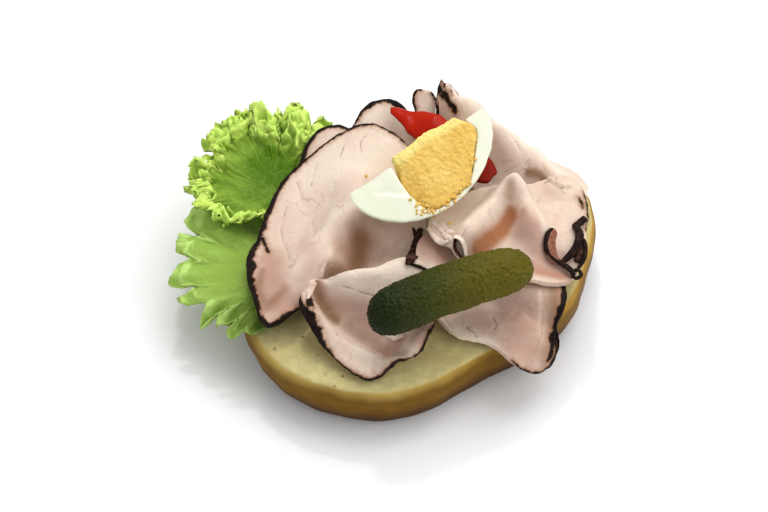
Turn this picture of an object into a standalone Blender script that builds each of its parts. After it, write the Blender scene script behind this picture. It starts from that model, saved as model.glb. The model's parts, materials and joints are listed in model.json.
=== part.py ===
"""An open sandwich: half of an oval bread roll with two lettuce leaves, folded slices of roast pork,
a strip of red pepper, an egg wedge and a gherkin laid on its cut face.

The frame is +Z up with the origin at the middle of the roll's flat underside. The front of the
sandwich faces -Y. Lengths are in millimetres until a mesh is written, which is in metres.
"""

import math

import bmesh
import bpy
import numpy as np
from mathutils import Vector
from mathutils.bvhtree import BVHTree

MM = 0.001

# Driving dimensions.
ROLL_LENGTH = 124.4
ROLL_WIDTH = 90.8
ROLL_HEIGHT = 19.0
ROLL_TURN = math.radians(35.4)
RIM_CENTRE = (2.2, 2.5)
FOOT_CENTRE = (2.8, 2.0)
SLICE_THICKNESS = 1.7
LEAF_THICKNESS = 1.1
EGG_LENGTH = 50.0
EGG_WIDTH = 34.0
EGG_WEDGE = math.radians(62.0)
# distance along the egg from its middle, and the yolk's radius there
YOLK_PROFILE = (
    ((-9.0, 0.0), (-8.6, 7.5), (-7.8, 11.2), (-5.6, 13.5), (-3.3, 14.5), (0.0, 14.4), (4.0, 13.8))
    + ((7.5, 13.4), (10.0, 11.6), (12.8, 8.4), (15.1, 5.4), (17.2, 3.4), (18.5, 1.8), (19.0, 0.0))
)
YOLK_SUNK = 0.7
YOLK_PROUD = 5.2
WHITE_PROUD = 3.2
GHERKIN_LENGTH = 52.0
GHERKIN_WIDTH = 15.0
PEPPER_WIDTH = 9.0
PEPPER_THICKNESS = 2.5
CURL_HEIGHT = 4.5
GAP = 0.4

ROUND = 36


# ---------------------------------------------------------------- materials


def food_material(name, colour, roughness):
    """A plain food colour; nothing here is metal."""
    material = bpy.data.materials.new(name)
    material.use_nodes = True
    shader = material.node_tree.nodes["Principled BSDF"]
    shader.inputs["Base Color"].default_value = (*colour, 1.0)
    shader.inputs["Roughness"].default_value = roughness
    shader.inputs["Metallic"].default_value = 0.0
    return material


# ---------------------------------------------------------------- the pile


class Pile:
    """How high the food reaches so far, on a square grid seen from above.

    Whatever is laid next is lifted just enough to lie on what is there already.
    """

    HALF = 96
    STEEPEST = 0.35

    def __init__(self):
        side = 2 * self.HALF + 1
        self.top = np.zeros((side, side))

    def cells(self, points):
        column = np.clip(points[:, 0] + self.HALF, 0, 2 * self.HALF - 1.001)
        row = np.clip(points[:, 1] + self.HALF, 0, 2 * self.HALF - 1.001)
        return column, row

    def height_at(self, points, field):
        column, row = self.cells(points)
        i, j = row.astype(int), column.astype(int)
        a, b = row - i, column - j
        return (
            field[i, j] * (1 - a) * (1 - b)
            + field[i + 1, j] * a * (1 - b)
            + field[i, j + 1] * (1 - a) * b
            + field[i + 1, j + 1] * a * b
        )

    def lay(self, points, faces, half_thickness=0.0):
        """Raises the grid to the upper surface of this piece."""
        tree = BVHTree.FromPolygons([Vector(p) for p in points], faces)
        low, high = points.min(0), points.max(0)
        down = Vector((0, 0, -1))
        for i in range(int(low[1]) + self.HALF - 1, int(high[1]) + self.HALF + 2):
            for j in range(int(low[0]) + self.HALF - 1, int(high[0]) + self.HALF + 2):
                start = Vector((j - self.HALF, i - self.HALF, 200.0))
                hit, normal, _, _ = tree.ray_cast(start, down)
                if hit is not None:
                    rise = half_thickness / max(abs(normal.z), self.STEEPEST)
                    self.top[i, j] = max(self.top[i, j], hit.z + rise)

    def spread(self, field, rounds=1):
        """The highest value among each cell and its eight neighbours."""
        for _ in range(rounds):
            padded = np.pad(field, 1, mode="edge")
            rows, columns = field.shape
            field = np.max(
                [padded[i : i + rows, j : j + columns] for i in range(3) for j in range(3)],
                axis=0,
            )
        return field

    def drape(self, points, clearance, near=5, ease=3):
        """Lifts points over what is laid so far, and eases the lift out around each contact.

        near is how far a contact reaches, at least the distance between neighbouring points. The lift
        is then averaged twice over ease to each side, after spreading by as much, so that it stays
        high enough at every contact.
        """
        top = self.spread(self.top)
        need = self.height_at(points, top) + clearance - points[:, 2]
        lift = np.zeros_like(self.top)
        column, row = self.cells(points)
        np.maximum.at(lift, (np.rint(row).astype(int), np.rint(column).astype(int)), need)
        lift = self.spread(np.maximum(lift, 0.0), rounds=near + 2 * ease)
        for _ in range(2):
            lift = self.averaged(lift, ease)
        raised = points.copy()
        raised[:, 2] += self.height_at(points, lift)
        return raised

    def averaged(self, field, reach):
        """The mean over the square that reaches this many cells to each side."""
        for axis in (0, 1):
            field = np.mean([np.roll(field, step, axis) for step in range(-reach, reach + 1)], axis=0)
        return field

    def rest(self, points, clearance):
        """How far a stiff piece has to rise to lie clear on the pile."""
        return float(np.max(self.height_at(points, self.spread(self.top)) - points[:, 2]) + clearance)


# ---------------------------------------------------------------- mesh helpers


def new_object(name, points, faces, material):
    """A mesh object, moved so that the middle of the roll's foot comes to the origin."""
    mesh = bpy.data.meshes.new(name)
    placed = (np.array(points) - (*FOOT_CENTRE, 0.0)) * MM
    mesh.from_pydata(placed.tolist(), [], faces)
    shell = bmesh.new()
    shell.from_mesh(mesh)
    bmesh.ops.recalc_face_normals(shell, faces=shell.faces)
    shell.to_mesh(mesh)
    shell.free()
    mesh.materials.append(material)
    mesh.shade_smooth()
    obj = bpy.data.objects.new(name, mesh)
    bpy.context.scene.collection.objects.link(obj)
    return obj


def grid_faces(rows, columns, closed=False):
    """Quads over a grid of points kept row by row; closed joins the last column to the first."""
    faces = []
    for i in range(rows - 1):
        for j in range(columns if closed else columns - 1):
            k = (j + 1) % columns
            a, b = i * columns + j, i * columns + k
            faces.append((a, b, b + columns, a + columns))
    return faces


def sheet_normals(points, rows, columns):
    grid = points.reshape(rows, columns, 3)
    along = np.gradient(grid, axis=1)
    across = np.gradient(grid, axis=0)
    normals = np.cross(along, across).reshape(-1, 3)
    return normals / np.maximum(np.linalg.norm(normals, axis=1, keepdims=True), 1e-9)


def clearance_over(points, rows, columns, thickness):
    """Room that a sheet's lower face needs under its middle, more where the sheet is steep."""
    upright = np.abs(sheet_normals(points, rows, columns)[:, 2])
    return GAP + 0.5 * thickness / np.maximum(upright, Pile.STEEPEST)


def sheet_object(name, points, rows, columns, thickness, material):
    """A closed sheet of even thickness around a grid of middle points."""
    obj = new_object(name, points, grid_faces(rows, columns), material)
    solid = obj.modifiers.new("thickness", "SOLIDIFY")
    solid.thickness = thickness * MM
    solid.offset = 0.0
    solid.use_even_offset = False
    return obj


# ---------------------------------------------------------------- bread


def roll_outline(angle):
    """The roll's half width at an angle from its long axis: an oval, flattened a little in front."""
    across = (math.cos(angle) / (ROLL_LENGTH / 2)) ** 2
    along = (math.sin(angle) / (ROLL_WIDTH / 2)) ** 2
    flattened = 1.0
    for depth, middle, spread in ((0.08, 262, 22), (0.042, 326, 16), (-0.015, 213, 12)):
        flattened -= depth * math.exp(-(((math.degrees(angle) - middle) / spread) ** 2))
    return flattened * (across + along) ** -0.5


def bread(pile):
    """Half a roll with its cut face up: a flat foot, a rounded crust and a soft rim."""
    foot = 0.87
    profile = [(0.42, 0.0), (foot, 0.0)]
    steps = 5
    for k in range(1, steps + 1):
        turn = k / steps * math.pi / 2
        share = foot + (1 - foot) * math.sin(turn)
        profile.append((share, 0.62 * ROLL_HEIGHT * (1 - math.cos(turn))))
    profile += [(0.998, 0.86 * ROLL_HEIGHT), (0.985, 0.96 * ROLL_HEIGHT), (0.955, ROLL_HEIGHT)]
    profile += [(0.75, 1.01 * ROLL_HEIGHT), (0.4, 1.02 * ROLL_HEIGHT)]
    points = []
    for share, z in profile:
        lean = z / ROLL_HEIGHT
        middle = [a + lean * (b - a) for a, b in zip(FOOT_CENTRE, RIM_CENTRE)]
        for k in range(ROUND):
            angle = 2 * math.pi * k / ROUND
            reach = share * roll_outline(angle)
            x = middle[0] + reach * math.cos(angle + ROLL_TURN)
            y = middle[1] + reach * math.sin(angle + ROLL_TURN)
            points.append((x, y, z))
    faces = grid_faces(len(profile), ROUND, closed=True)
    points += [(*FOOT_CENTRE, 0), (*RIM_CENTRE, 1.02 * ROLL_HEIGHT)]
    low, high = len(points) - 2, len(points) - 1
    last = (len(profile) - 1) * ROUND
    for k in range(ROUND):
        n = (k + 1) % ROUND
        faces.append((low, n, k))
        faces.append((high, last + k, last + n))
    points = np.array(points)
    pile.lay(points, faces)
    return new_object("bread", points, faces, food_material("crust", (0.62, 0.47, 0.22), 0.7))


# ---------------------------------------------------------------- lettuce


def even_steps(share, values):
    """A value read smoothly from evenly spaced ones, for a share from 0 to 1."""
    place = min(max(share, 0.0), 1.0) * (len(values) - 1)
    k = min(int(place), len(values) - 2)
    t = place - k
    t = t * t * (3 - 2 * t)
    return values[k] * (1 - t) + values[k + 1] * t


def leaf(pile, name, base, reach, rim, start, sweep, frill, fray, waves, material):
    """A leaf spread as a fan from its base, whose rim ripples up and down.

    reach and rim hold the distance to the rim and its height at even turns across the sweep.
    """
    rows, columns = 6, 4 * waves + 1
    points = []
    for i in range(rows):
        share = ((i + 0.5) / (rows - 0.5)) ** 0.85
        for j in range(columns):
            across = j / (columns - 1)
            angle = math.radians(start + sweep * across)
            ripple = math.sin(2 * math.pi * waves * across)
            frayed = 1 + fray * share**4 * math.cos(5.3 * math.pi * waves * across)
            radius = share * frayed * even_steps(across, reach)
            height = base[2] + (even_steps(across, rim) - base[2]) * share**1.8
            height += frill * share**5 * ripple
            points.append((base[0] + radius * math.cos(angle), base[1] + radius * math.sin(angle), height))
    points = np.array(points)
    points = pile.drape(points, clearance_over(points, rows, columns, LEAF_THICKNESS))
    pile.lay(points, grid_faces(rows, columns), LEAF_THICKNESS / 2)
    return sheet_object(name, points, rows, columns, LEAF_THICKNESS, material)


def lettuce(pile):
    green = food_material("lettuce", (0.33, 0.55, 0.08), 0.45)
    leaf(
        pile,
        "lettuce_front",
        base=(-31.0, -4.0, 20.4),
        reach=(33.0, 42.5, 42.0, 40.0, 33.5, 30.5, 27.0, 23.0, 19.5),
        rim=(21.5, 21.0, 19.0, 17.5, 18.0, 18.0, 19.0, 20.5, 20.5),
        start=152.0,
        sweep=112.0,
        frill=1.5,
        fray=0.07,
        waves=8,
        material=green,
    )
    leaf(
        pile,
        "lettuce_back",
        base=(-31.0, 14.0, 21.8),
        reach=(34.5, 42.0, 45.5, 46.2, 44.5, 39.5, 33.0, 27.0),
        rim=(33.5, 33.5, 32.5, 30.5, 27.5, 25.0, 23.5, 23.0),
        start=102.0,
        sweep=102.0,
        frill=2.2,
        fray=0.05,
        waves=8,
        material=green,
    )


# ---------------------------------------------------------------- pork


def disc_grid(rows, columns):
    """A square grid pulled out to a unit disc, so that its outline is round and its faces even."""
    v, u = np.meshgrid(np.linspace(-1, 1, rows), np.linspace(-1, 1, columns), indexing="ij")
    return (u * np.sqrt(1 - v * v / 2)).ravel(), (v * np.sqrt(1 - u * u / 2)).ravel()


def crease_height(x, y, start, end, rise, spread):
    """A rounded ridge, or a valley where rise is negative, along the line from start to end.

    A pair of spreads sets its width to the right of the line and to the left of it.
    """
    ax, ay = start
    dx, dy = end[0] - ax, end[1] - ay
    share = np.clip(((x - ax) * dx + (y - ay) * dy) / (dx * dx + dy * dy), 0, 1)
    away = np.hypot(x - ax - share * dx, y - ay - share * dy)
    right, left = spread if isinstance(spread, tuple) else (spread, spread)
    width = np.where(dx * (y - ay) - dy * (x - ax) > 0, left, right)
    return rise * np.exp(-((away / width) ** 2))


def bend(points, at, toward, angle, radius):
    """Rolls the part of a sheet past the line through at, square to toward, up through angle degrees."""
    direction = math.radians(toward)
    forward = np.array((math.cos(direction), math.sin(direction), 0.0))
    origin = np.array(at)
    sign = 1.0 if angle > 0 else -1.0
    full = abs(math.radians(angle))
    local = points - origin
    along = local @ forward
    side = local - np.outer(along, forward)
    high = side[:, 2] * sign
    side[:, 2] = 0.0
    turn = np.clip(along / radius, 0.0, full)
    straight = np.where(along > radius * full, along - radius * full, 0.0)
    before = np.minimum(along, 0.0)
    reach = before + radius * np.sin(turn) + straight * np.cos(turn) - high * np.sin(turn)
    rise = radius * (1 - np.cos(turn)) + straight * np.sin(turn) + high * np.cos(turn)
    moved = origin + side + np.outer(reach, forward)
    moved[:, 2] = origin[2] + sign * rise
    return moved


def outline_reach(angle, reach):
    """Distance from a slice's middle to its edge, rounded through evenly spaced distances."""
    count = len(reach)
    place = (angle / (2 * math.pi)) % 1.0 * count
    k = np.floor(place).astype(int)
    t = place - k
    ring = np.array(reach)
    before, here, after, beyond = (ring[(k + step) % count] for step in (-1, 0, 1, 2))
    return here + 0.5 * t * (
        after
        - before
        + t * (2 * before - 5 * here + 4 * after - beyond + t * (3 * (here - after) + beyond - before))
    )


def pork_slice(pile, material, name, centre, reach, tilt=(0, 0), creases=(), bends=(), fine=15):
    """One slice of roast: an uneven oval, laid down with ridges and valleys, its edges rolled.

    reach is the distance to the edge at even turns from +X; each crease has a start, an end, a rise
    and a spread; each bend has a point, a direction, an angle and a radius.
    """
    u, v = disc_grid(fine, fine)
    out = outline_reach(np.arctan2(v, u), reach)
    x, y = centre[0] + u * out, centre[1] + v * out
    z = centre[2] + tilt[0] * (x - centre[0]) + tilt[1] * (y - centre[1])
    for start, end, rise, spread in creases:
        z = z + crease_height(x, y, start, end, rise, spread)
    points = np.stack([x, y, z], axis=1)
    for at, toward, angle, radius in bends:
        points = bend(points, at, toward, angle, radius)
    points = pile.drape(points, clearance_over(points, fine, fine, SLICE_THICKNESS))
    pile.lay(points, grid_faces(fine, fine), SLICE_THICKNESS / 2)
    return sheet_object(name, points, fine, fine, SLICE_THICKNESS, material)


def pork(pile):
    """The slices from the lowest to the topmost."""
    meat = food_material("pork", (0.72, 0.50, 0.42), 0.45)
    slices = [
        dict(
            name="pork_back_left",
            centre=(-28.0, 24.0, 27.5),
            reach=(
                (10.0, 10.8, 13.9, 20.8, 21.3, 16.7, 12.1, 10.8)
                + (10.6, 12.2, 15.8, 18.1, 18.0, 15.8, 13.1, 10.8)
            ),
            tilt=(0.10, 0.20),
            creases=[((-28, 41), (-27, 32), 1.3, 7.0)],
            fine=9,
        ),
        dict(
            name="pork_back",
            centre=(-5.0, 26.0, 27.5),
            reach=(
                (8.0, 8.5, 10.0, 15.5, 22.0, 23.1, 20.8, 15.6)
                + (14.2, 13.0, 12.0, 12.0, 12.0, 11.0, 9.5, 8.0)
            ),
            tilt=(0.0, 0.42),
            creases=[((-15, 47), (-4, 50), 4.0, 5.5)],
            fine=9,
        ),
        dict(
            name="pork_back_middle",
            centre=(2.5, 43.5, 38.5),
            reach=(3.7, 4.4, 5.2, 5.2, 5.2, 5.6, 4.8, 3.2, 2.6, 3.2, 4.2, 5.0, 5.2, 5.2, 5.0, 4.2),
            tilt=(0.0, 1.0),
            creases=[],
            fine=9,
        ),
        dict(
            name="pork_back_right",
            centre=(30.0, 26.0, 24.5),
            reach=(
                (24.0, 21.0, 17.0, 16.5, 18.0, 26.5, 31.5, 22.5)
                + (13.0, 11.0, 10.0, 10.0, 11.0, 13.0, 18.0, 23.0)
            ),
            tilt=(-0.05, 0.0),
            creases=[
                ((7, 49), (20, 42), 20.2, (9.0, 5.0)),
                ((31, 34), (38, 30), 13.0, (9.0, 5.0)),
                ((48, 25), (52, 21), 4.0, 6.0),
            ],
            fine=13,
        ),
        dict(
            name="pork_left",
            centre=(-24.0, 4.0, 29.0),
            reach=(
                (26.9, 28.4, 31.2, 33.9, 35.5, 36.5, 32.0, 28.8, 27.2, 25.6, 24.0, 23.9)
                + (24.3, 28.2, 31.1, 34.5, 38.0, 22.6, 20.6, 20.2, 21.1, 23.3, 26.8, 26.7)
            ),
            tilt=(0.10, 0.20),
            creases=[
                ((-27, -9), (-18, 12), 8.4, 8.0),
                ((-22, -6), (0, -2), -5.5, 7.5),
                ((-9, 10), (4, 20), -5.0, 7.0),
                ((-29, -19), (-14, -17), -7.0, 7.0),
            ],
        ),
        dict(
            name="pork_right_front",
            centre=(24.0, -19.0, 23.0),
            reach=(
                (20.5, 21.0, 18.5, 17.2, 18.1, 22.3, 29.7, 26.4)
                + (22.0, 18.8, 16.2, 15.1, 17.4, 24.5, 29.0, 19.5)
            ),
            tilt=(-0.05, 0.10),
            creases=[((25, -20), (39, -26), -3.0, 4.0), ((29, -17), (42, -19), 4.0, 7.0)],
            bends=[((33.0, -30.0, 22.0), -48.0, -70.0, 7.0)],
        ),
        dict(
            name="pork_right",
            centre=(28.0, 2.0, 31.0),
            reach=(
                (23.5, 26.8, 28.8, 17.4, 15.0, 16.0, 17.7, 20.6)
                + (24.5, 20.5, 18.0, 17.0, 18.0, 19.9, 23.8, 23.6)
            ),
            tilt=(-0.10, 0.18),
            creases=[
                ((15, -5), (28, 10), 9.0, 5.0),
                ((31, 10), (35, 0), 7.5, 4.8),
                ((42, -10), (52, -12), -3.5, 8.0),
            ],
        ),
        dict(
            name="pork_front",
            centre=(-14.0, -26.0, 24.0),
            reach=(
                (19.6, 21.6, 19.8, 16.5, 13.2, 12.9, 14.8, 19.4)
                + (20.4, 17.5, 16.4, 17.5, 19.6, 17.4, 19.0, 19.0)
            ),
            tilt=(0.03, 0.19),
            creases=[
                ((-32, -28), (-30, -18), 3.7, 3.2),
                ((-28, -19), (-8, -36), -3.0, 5.0),
                ((-5, -39), (2, -34), 4.0, 3.5),
                ((-20, -15), (1, -12), 6.5, 8.0),
            ],
        ),
    ]
    for facts in slices:
        pork_slice(pile, meat, **facts)


def pork_curl(pile):
    """A corner of the right-hand slice stood up on its edge in a small loop."""
    meat = bpy.data.materials["pork"]
    rows, columns = 4, 13
    points = []
    for i in range(rows):
        up = i / (rows - 1)
        for j in range(columns):
            across = j / (columns - 1)
            angle = math.radians(135 + 285 * across)
            reach = 1 + 0.15 * up
            x = 45.0 + 4.8 * reach * math.cos(angle)
            y = -7.0 + 6.0 * reach * math.sin(angle) - 1.0 * up
            points.append((x, y, CURL_HEIGHT * up))
    points = np.array(points)
    ground = pile.height_at(points, pile.spread(pile.top, rounds=2)).reshape(rows, columns).max(0)
    for _ in range(2):
        ground[1:-1] = np.maximum(ground[1:-1], (ground[:-2] + ground[2:]) / 2)
    points[:, 2] += np.tile(ground + GAP, rows)
    pile.lay(points, grid_faces(rows, columns), SLICE_THICKNESS / 2)
    return sheet_object("pork_curl", points, rows, columns, 0.9 * SLICE_THICKNESS, meat)


# ---------------------------------------------------------------- pepper


def pepper(pile):
    """A strip of red pepper with a pointed end, lying over the slices at the back."""
    rows, columns = 5, 14
    middle = (
        (-6.4, 42.2, 41.5),
        (-1.0, 37.8, 42.0),
        (5.0, 34.2, 41.0),
        (13.0, 29.0, 34.0),
        (24.0, 21.5, 34.0),
    )
    points = []
    for i in range(rows):
        side = 2 * i / (rows - 1) - 1
        for j in range(columns):
            along = j / (columns - 1)
            x, y, z = (even_steps(along, [p[axis] for p in middle]) for axis in range(3))
            half = 0.5 * PEPPER_WIDTH * min(1.0, 0.18 + 2.6 * along, 0.5 + 5.0 * (1 - along))
            points.append((x + 0.62 * side * half, y + 0.78 * side * half, z - 0.8 * side**2))
    points = np.array(points)
    points = pile.drape(points, GAP + 0.5 * PEPPER_THICKNESS + 0.4, near=3, ease=1)
    pile.lay(points, grid_faces(rows, columns), PEPPER_THICKNESS / 2)
    red = food_material("pepper", (0.62, 0.03, 0.01), 0.25)
    return sheet_object("pepper_strip", points, rows, columns, PEPPER_THICKNESS, red)


# ---------------------------------------------------------------- egg

EGG_TIP = (-19.1, 1.3, 47.5)
EGG_AXIS = Vector((0.82, 0.53, 0.21)).normalized()
EGG_FACING = Vector((0.0, -0.643, 0.766))


def egg_frame():
    """Directions of the wedge: along the egg, down its front cut face, and out of that face."""
    out = (EGG_FACING - EGG_FACING.dot(EGG_AXIS) * EGG_AXIS).normalized()
    return EGG_AXIS, EGG_AXIS.cross(out), out


def in_egg_frame(local, rise):
    along, down, out = (np.array(v) for v in egg_frame())
    middle = np.array(EGG_TIP) + 0.5 * EGG_LENGTH * along
    middle[2] += rise
    local = np.array(local)
    return middle + np.outer(local[:, 0], along) + np.outer(local[:, 1], down) + np.outer(local[:, 2], out)


def round_body(radius_at, start, end, rings, sides):
    """A closed body of revolution about the first axis, with a point at each end."""
    points = [(start, 0.0, 0.0)]
    for i in range(1, rings):
        turn = math.pi * i / rings
        x = start + (end - start) * 0.5 * (1 - math.cos(turn))
        r = radius_at(x)
        for k in range(sides):
            a = 2 * math.pi * (k + 0.5) / sides
            points.append((x, r * math.cos(a), r * math.sin(a)))
    points.append((end, 0.0, 0.0))
    last = len(points) - 1
    faces = []
    for k in range(sides):
        n = (k + 1) % sides
        faces.append((0, 1 + n, 1 + k))
        base = 1 + (rings - 2) * sides
        faces.append((last, base + k, base + n))
        for i in range(rings - 2):
            low = 1 + i * sides
            faces.append((low + k, low + n, low + sides + n, low + sides + k))
    return points, faces


def egg_radius(x):
    """Half width of the egg at a distance from its middle; it is a little blunter at its near end."""
    share = 2 * x / EGG_LENGTH
    return 0.5 * EGG_WIDTH * max(1 - share * share, 0.0) ** 0.6 * (1 - 0.04 * share)


def yolk_radius(x, extra=0.0):
    """Half width of the yolk at a distance from the egg's middle, grown all round by extra."""
    start, end = YOLK_PROFILE[0][0], YOLK_PROFILE[-1][0]
    inner = start + (x - start + extra) * (end - start) / (end - start + 2 * extra)
    places, radii = zip(*YOLK_PROFILE)
    return float(np.interp(inner, places, radii)) + (extra if start - extra < x < end + extra else 0.0)


def cutter(obj):
    obj.display_type = "WIRE"
    obj.hide_render = True
    return obj


def cut(obj, other, operation):
    step = obj.modifiers.new(operation.lower(), "BOOLEAN")
    step.operation = operation
    step.solver = "EXACT"
    step.object = other
    return step


def egg(pile):
    """A wedge of boiled egg lying on its round back, one cut face to the front.

    The crumbly yolk stands a little proud of the white along the edge between the cut faces.
    """
    def wedge_cutter(name, edge, angle):
        """A long prism with its edge along the egg, one side across the front and one at angle to it."""
        wide = 2 * EGG_LENGTH
        back = (edge[0] + math.cos(angle) * wide, edge[1] - math.sin(angle) * wide)
        points = [(x, *p) for x in (-wide, wide) for p in (edge, (wide, edge[1]), back)]
        faces = [(0, 2, 1), (3, 4, 5), (0, 1, 4, 3), (1, 2, 5, 4), (2, 0, 3, 5)]
        return cutter(new_object(name, in_egg_frame(points, rise), faces, white_colour))

    body, body_faces = round_body(egg_radius, -EGG_LENGTH / 2, EGG_LENGTH / 2, 14, 30)
    low = math.tan(EGG_WEDGE)
    inside = [p for p in body if p[2] <= 0 and -p[2] <= low * (p[1] + WHITE_PROUD)]
    rise = pile.rest(in_egg_frame(inside, 0.0), GAP)

    def yolk_body(extra):
        start, end = YOLK_PROFILE[0][0] - extra, YOLK_PROFILE[-1][0] + extra
        points, faces = round_body(lambda x: yolk_radius(x, extra), start, end, 14, 24)
        return [(x, y + YOLK_SUNK, z) for x, y, z in points], faces

    white_colour = food_material("egg_white", (0.80, 0.84, 0.72), 0.35)
    yolk_colour = food_material("egg_yolk", (0.88, 0.60, 0.16), 0.75)
    wedge = wedge_cutter("egg_wedge_cutter", (-WHITE_PROUD, -0.05), EGG_WEDGE)
    far = 0.92 * EGG_WIDTH / 2
    lean = math.atan2(far * math.sin(EGG_WEDGE), YOLK_PROUD - WHITE_PROUD + far * math.cos(EGG_WEDGE))
    proud_wedge = wedge_cutter("yolk_wedge_cutter", (-YOLK_PROUD, -0.05), lean)
    points, faces = yolk_body(GAP)
    hollow = cutter(new_object("egg_hollow_cutter", in_egg_frame(points, rise), faces, white_colour))
    white = new_object("egg_white", in_egg_frame(body, rise), body_faces, white_colour)
    cut(white, wedge, "INTERSECT")
    cut(white, hollow, "DIFFERENCE")
    points, faces = yolk_body(0.0)
    yolk = new_object("egg_yolk", in_egg_frame(points, rise), faces, yolk_colour)
    cut(yolk, proud_wedge, "INTERSECT")
    return white, yolk


# ---------------------------------------------------------------- gherkin

GHERKIN_END = (-14.4, -37.4, 35.8)
GHERKIN_AXIS = Vector((0.92, 0.40, 0.01)).normalized()


def gherkin_radius(x):
    """Half width along the gherkin: blunt at the near end, a little slimmer at the far one."""
    share = min(abs(2 * x / GHERKIN_LENGTH), 1.0)
    return 0.5 * GHERKIN_WIDTH * (1 - share**7) ** 0.5 * (1 - 0.05 * x / GHERKIN_LENGTH)


def gherkin(pile):
    """A small pickled gherkin, slightly bent, resting across the two front slices."""
    points, faces = round_body(gherkin_radius, -GHERKIN_LENGTH / 2, GHERKIN_LENGTH / 2, 14, 14)
    along = np.array(GHERKIN_AXIS)
    side = np.cross((0, 0, 1), along)
    side /= np.linalg.norm(side)
    up = np.cross(along, side)
    local = np.array(points)
    local[:, 1] += 1.6 * (1 - (2 * local[:, 0] / GHERKIN_LENGTH) ** 2)
    middle = np.array(GHERKIN_END) + 0.5 * GHERKIN_LENGTH * along
    placed = middle + np.outer(local[:, 0], along) + np.outer(local[:, 1], side) + np.outer(local[:, 2], up)
    rise = pile.rest(placed, GAP)
    placed[:, 2] += rise
    return new_object("gherkin", placed, faces, food_material("gherkin", (0.17, 0.20, 0.03), 0.3))


# ---------------------------------------------------------------- assembly


def clear_scene():
    for obj in list(bpy.data.objects):
        bpy.data.objects.remove(obj)


def main():
    clear_scene()
    pile = Pile()
    bread(pile)
    lettuce(pile)
    pork(pile)
    pork_curl(pile)
    pepper(pile)
    egg(pile)
    gherkin(pile)


main()
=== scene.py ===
import json
import math

import bmesh
import bpy
import numpy as np
from bpy.props import FloatProperty, FloatVectorProperty, PointerProperty
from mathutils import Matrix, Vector, kdtree, noise
from mathutils.bvhtree import BVHTree

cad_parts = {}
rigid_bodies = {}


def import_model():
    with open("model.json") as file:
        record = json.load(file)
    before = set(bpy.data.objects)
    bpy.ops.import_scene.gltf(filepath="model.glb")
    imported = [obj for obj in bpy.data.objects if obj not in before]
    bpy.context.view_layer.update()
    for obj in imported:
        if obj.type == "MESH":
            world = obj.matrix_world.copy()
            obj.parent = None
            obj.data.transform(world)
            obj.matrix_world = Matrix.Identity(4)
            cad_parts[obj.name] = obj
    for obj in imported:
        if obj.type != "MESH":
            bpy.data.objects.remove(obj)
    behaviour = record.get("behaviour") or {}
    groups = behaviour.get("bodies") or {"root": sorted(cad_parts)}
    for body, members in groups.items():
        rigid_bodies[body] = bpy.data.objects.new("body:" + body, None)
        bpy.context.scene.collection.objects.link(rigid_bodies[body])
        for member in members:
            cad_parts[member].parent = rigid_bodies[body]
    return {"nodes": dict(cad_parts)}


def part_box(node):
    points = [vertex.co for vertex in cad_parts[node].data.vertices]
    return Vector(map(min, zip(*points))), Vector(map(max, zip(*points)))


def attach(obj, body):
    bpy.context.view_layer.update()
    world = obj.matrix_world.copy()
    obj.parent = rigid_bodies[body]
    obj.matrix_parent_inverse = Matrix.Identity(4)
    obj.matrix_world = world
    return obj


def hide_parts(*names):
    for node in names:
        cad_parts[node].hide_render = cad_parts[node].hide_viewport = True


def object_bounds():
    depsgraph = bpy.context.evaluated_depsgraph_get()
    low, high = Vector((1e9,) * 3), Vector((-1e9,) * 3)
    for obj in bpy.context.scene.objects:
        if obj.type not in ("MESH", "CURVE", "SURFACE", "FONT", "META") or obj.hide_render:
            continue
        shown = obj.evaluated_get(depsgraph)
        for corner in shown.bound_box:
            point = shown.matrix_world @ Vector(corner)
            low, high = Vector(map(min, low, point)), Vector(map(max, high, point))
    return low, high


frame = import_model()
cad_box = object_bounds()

bl_info = {
    "name": "Open Sandwich",
    "version": (1, 0, 0),
    "blender": (4, 5, 0),
    "location": "View3D > Sidebar > Sandwich",
    "description": "Finishes an open sandwich of roll, lettuce, sliced pork, egg, gherkin and pepper",
    "category": "Object",
}

MM = 0.001
FULL_TURN = 2 * math.pi
ABOVE = 0.09                    # a height above everything, in metres
DOWN = Vector((0, 0, -1))


# ------------------------------------------------------------------ sizes and colours

def length(name, text, value):
    return FloatProperty(name=name, description=text, default=value, min=0.0, subtype="DISTANCE", unit="LENGTH")


def colour(name, text, value):
    return FloatVectorProperty(name=name, description=text, default=value, min=0.0, max=1.0, size=3, subtype="COLOR")


class SandwichSizes(bpy.types.PropertyGroup):
    crumb_grain: length("Crumb grain", "Height of the unevenness of the cut crumb", 0.5 * MM)
    meat_swell: length("Meat swell", "Height of the soft swells on a slice of pork", 0.5 * MM)
    meat_grain: length("Meat grain", "Height of the fine grain on a slice of pork", 0.12 * MM)
    rind_grain: length("Rind grain", "Height of the lumps on the dark rind", 0.7 * MM)
    leaf_wall: length("Leaf wall", "Thickness of a lettuce leaf", 0.45 * MM)
    yolk_grain: length("Yolk grain", "Height of the crumbs on the cut yolk", 0.8 * MM)
    wart: length("Gherkin wart", "Height of the warts on the gherkin", 0.85 * MM)


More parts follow.
